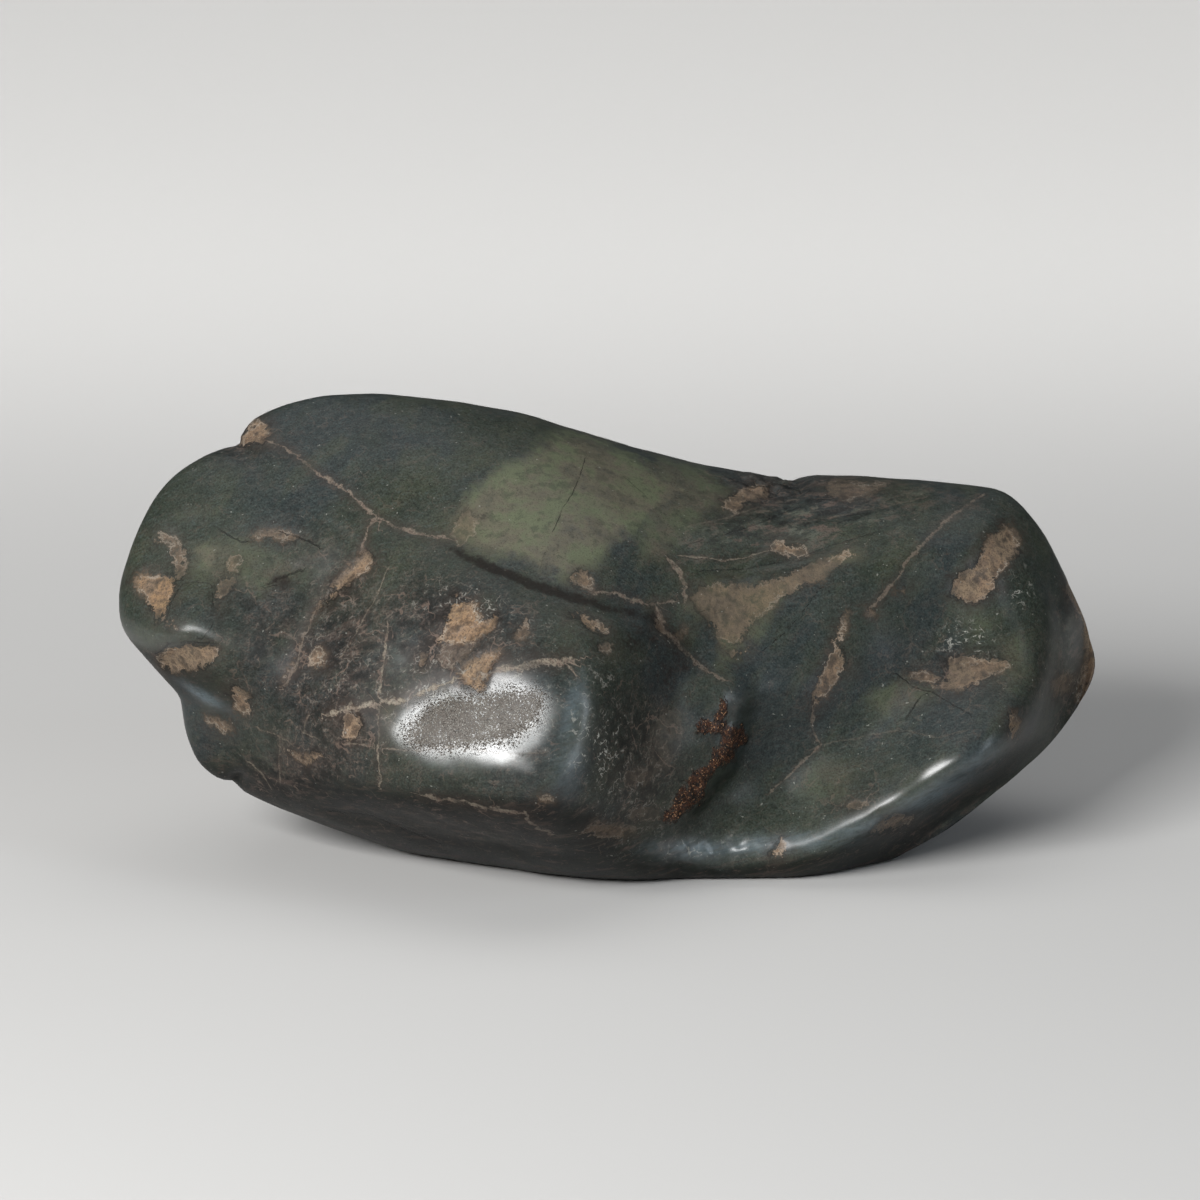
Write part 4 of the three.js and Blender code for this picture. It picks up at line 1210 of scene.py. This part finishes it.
# %% Veins
CREAM, PINK_BROWN, CHALK = colour(122, 116, 103), colour(98, 84, 75), colour(156, 156, 148)
wander = (cloud - 0.5) * 4 + (grain - 0.5) * 3.5 + (fine - 0.5) * 1.2
broken = noise(place, 0.3, 3).over(0.36, 0.52)
breadth = noise(place, 0.5, 2).over(0.38, 0.7) * 1.1 + 0.1
vein_core = abs(measured("vein") + wander)
vein = (vein_core - breadth).under(-0.3, 0.7) * measured("vein_near").under(5, 7)
vein = vein * measured("vein_strength") * (0.4 + 0.6 * broken)
stain = vein_core.under(1, 6) * measured("vein_near").under(5, 9) * measured("vein_strength")
vein_colour = glaze(
    mix(measured("vein_tone"), CREAM, PINK_BROWN),
    (grain.over(0.46, 0.56) * 0.6, PINK_BROWN),
    (fine.under(0.4, 0.5) * 0.6, SPECK))
painted = glaze(painted, (stain * 0.45, HALO), (vein, vein_colour))
print("veins laid:", len(tree.nodes), "nodes")

# %% Cracks, healed fractures, flecks and painted glints
crack = abs(measured("crack") + wander).under(0.4, 1.1) * measured("crack_near").under(4, 6)
crack = crack * measured("crack_strength") * (0.2 + 0.7 * broken)
painted = mix(crack, painted, SOOT)
healed = fractures.under(0.008, 0.03) * noise(place, 0.22, 2).over(0.5, 0.62)
painted = mix(healed * (0.15 + 0.6 * brown), painted, PINK_BROWN)
scratches = crackle.under(0.02, 0.07) * grain.over(0.46, 0.56) * cloud.over(0.45, 0.6)
dots = noise(place, 1.1, 1).over(0.75, 0.79)
# Chalk-white flecks and dots; where the lip begins they are painted glints.
fleck_and_glint = scratches * measured("flecks_and_glints") + dots * 0.3
painted = mix(fleck_and_glint, painted, CHALK)
print("cracks and flecks laid:", len(tree.nodes), "nodes")

# %% [markdown]
# ## The dulled top of the belly
# Where the stone is touched most, the polish has been rubbed away again. The middle is matt grey,
# and its margin breaks up into small dark pits in the bright polish. The matt comes from taking the
# coat away there.

# %% The dulled top of the belly
WORN_GREY, PIT_BROWN = colour(88, 81, 75), colour(34, 30, 28)
worn = (measured("worn") + (mottle - 0.5) * 4 + (grain - 0.5) * 3 + (fine - 0.5) * 10).under(-1.5, 1)
pitted = noise(place, 3, 2, 0.7).over(0.54, 0.6) * abs(measured("worn") - 0.3).under(0.8, 2.6)
painted = glaze(
    painted,
    (worn * 0.75, WORN_GREY),
    (worn * fine.over(0.48, 0.62) * 0.75, PIT_BROWN),
    (worn * noise(place, 3.5, 2, 0.7).over(0.58, 0.66) * 0.6, CHALK),
    (pitted * 0.8, PIT_BROWN))
print("dulled top laid:", len(tree.nodes), "nodes")

# %% [markdown]
# ## Painted shade in the crease
# The crease under the wall and the deepest part of the hollow are painted darker: painted shade, where
# little light gets in. It is a last thin coat, strongest where the channel or the soft ovals are deepest.

# %% Painted shade in the crease under the wall, and in the deep of the hollow
CREASE_SHADE_BROWN = colour(24, 19, 17)
crease_shade = (measured("crease_shade") * 1.2 + (cloud - 0.5) * 1.2 + (grain - 0.5) * 1.4).over(0.15, 1)
# the painted shade itself: a dark brown coat
painted = mix(crease_shade * 0.8, painted, CREASE_SHADE_BROWN)
print("crease laid:", len(tree.nodes), "nodes")

# %% [markdown]
# ## Gloss
# A single roughness for everything would look like plastic. Here a dull base carries a clear coat,
# and the weight of the coat is the polish: full on the rubbed ridges, thin on the ground, none on
# inclusions, crust and the underside. Each matt thing takes its own share of the polish away. A
# slight bump, its height a sum in millimetres, sinks the soft minerals and the cracks.

# %% Gloss and small bumps, then the shader
roughness = 0.45 + fine.over(0.5, 0.75) * 0.15 + worn * 0.1
unpolished = brown * 0.5 + under * 0.9 + measured("dimmed") + crease_shade + fine.over(0.5, 0.7) * 0.15
unpolished = unpolished + pale * 0.35 + tan * 0.75 + crust * 0.5 + vein * 0.4 + worn * 0.86 + pitted * 0.6
polish = unpolished.under(0, 1) * (0.2 + 0.8 * polished)
height = grain * 0.02 + fine * 0.01 + fibres * 0.01 - tan * 0.1 - crack * 0.2 - vein * 0.04
height = height + crust * fine * 0.9 - pitted * 0.05
bump = add("Bump", None, Strength=1, Distance=MM, Height=height)
shader = add("BsdfPrincipled", None, Base_Color=painted, Roughness=roughness, Coat_Weight=polish,
             Normal=Wire(bump.outputs[0]), IOR=1.5, Specular_IOR_Level=0.1,
             Coat_Roughness=0.28, Coat_IOR=1.6)
add("OutputMaterial", None, Surface=Wire(shader.outputs[0]))
stone_mesh.materials.append(serpentine)
print("the serpentine material has", len(tree.nodes), "nodes")

# %% [markdown] ## The floor The stone stands on a plain pale floor, so wide that its edges are
# never seen.

# %% Floor
FLOOR_LEFT, FLOOR_RIGHT, FLOOR_FRONT, FLOOR_BACK = -4, 4, -4, 6
FLOOR_GREY, FLOOR_ROUGHNESS = colour(187, 186, 184), 0.7
floor_corners = [(FLOOR_LEFT, FLOOR_FRONT, 0), (FLOOR_RIGHT, FLOOR_FRONT, 0),
                 (FLOOR_RIGHT, FLOOR_BACK, 0), (FLOOR_LEFT, FLOOR_BACK, 0)]
floor_mesh = mesh_of("floor", np.array(floor_corners, float), np.array([[0, 1, 2, 3]]))
floor_finish = bpy.data.materials.new("pale floor")
floor_finish.use_nodes = True
floor_shader = floor_finish.node_tree.nodes["Principled BSDF"]
floor_shader.inputs["Base Color"].default_value = FLOOR_GREY
floor_shader.inputs["Roughness"].default_value = FLOOR_ROUGHNESS
floor_mesh.materials.append(floor_finish)
floor = in_scene("floor", floor_mesh)
print("the floor is", round(floor.dimensions.x, 1), "by", round(floor.dimensions.y, 1), "m")

# %% [markdown]
# ## The lights
# A soft box high on the left makes the broad shine on the belly. A cooler one on the right catches
# the lip and the belly's edge. A large one high behind lights the crown and puts the shadow in
# front, and one with a narrow beam brightens the floor behind.

# %% Lights
STONE_MIDDLE, FAR_FLOOR = Vector((0, 0, 0.05)), Vector((0, 0.98, 0))
WHITE, COOL = (1, 1, 1), (0.82, 0.91, 1)


def soft_box(name, turn, height, distance, size, watts, tint=WHITE, middle=STONE_MIDDLE, spread=180):
    """A rectangle of light aimed at the middle: turn and height are degrees round it and above it, and
    a turn of 0 is in front."""
    turn, height = math.radians(turn), math.radians(height)
    light = bpy.data.lights.new(name, "AREA")
    light.shape = "RECTANGLE"
    light.size, light.size_y = size
    light.energy = watts
    light.color = tint
    light.spread = math.radians(spread)
    holder = in_scene(name, light)
    away = Vector((math.sin(turn) * math.cos(height), -math.cos(turn) * math.cos(height), math.sin(height)))
    holder.location = middle + away * distance
    holder.rotation_euler = (-away).to_track_quat("-Z", "Y").to_euler()


soft_box("key", turn=-36, height=30, distance=1.3, size=(0.7, 0.4), watts=27)
soft_box("cool", turn=62, height=20, distance=1.3, size=(0.26, 1), watts=4, tint=COOL)
soft_box("overhead", turn=180, height=76, distance=2.4, size=(3, 2), watts=20)
soft_box("far floor", turn=0, height=90, distance=1.6, size=(3, 1.2), watts=9.5,
         middle=FAR_FLOOR, spread=24)
print(len(bpy.data.lights), "lights,", sum(light.energy for light in bpy.data.lights), "W in all")

# %% The room's own faint light
ROOM_GREY, ROOM_STRENGTH = (0.82, 0.83, 0.85, 1), 0.14
world = bpy.data.worlds.new("room")
world.use_nodes = True
room = world.node_tree.nodes["Background"]
room.inputs["Color"].default_value = ROOM_GREY
room.inputs["Strength"].default_value = ROOM_STRENGTH
bpy.context.scene.world = world
bpy.context.scene.view_settings.view_transform = "Standard"
print("the room's own light has a strength of", ROOM_STRENGTH)

# %% [markdown]
# ## The camera
# A long lens from a good metre away keeps the stone's proportions true. It looks down by the same
# 16 degrees as the front drawing, so every marking is seen just as it was drawn.

# %% Camera
LENS, SENSOR = 160, 36
camera_data = bpy.data.cameras.new("camera")
camera_data.lens, camera_data.sensor_width = LENS, SENSOR
camera = in_scene("camera", camera_data)
sight = Vector(SIGHT)
camera.location = Vector((VIEW_AIM + SET_DOWN) * MM) - sight * VIEW_DISTANCE * MM
camera.rotation_euler = sight.to_track_quat("-Z", "Y").to_euler()
bpy.context.scene.camera = camera
print("camera at", [round(value, 3) for value in camera.location], "m")

# %% [markdown] ## The end
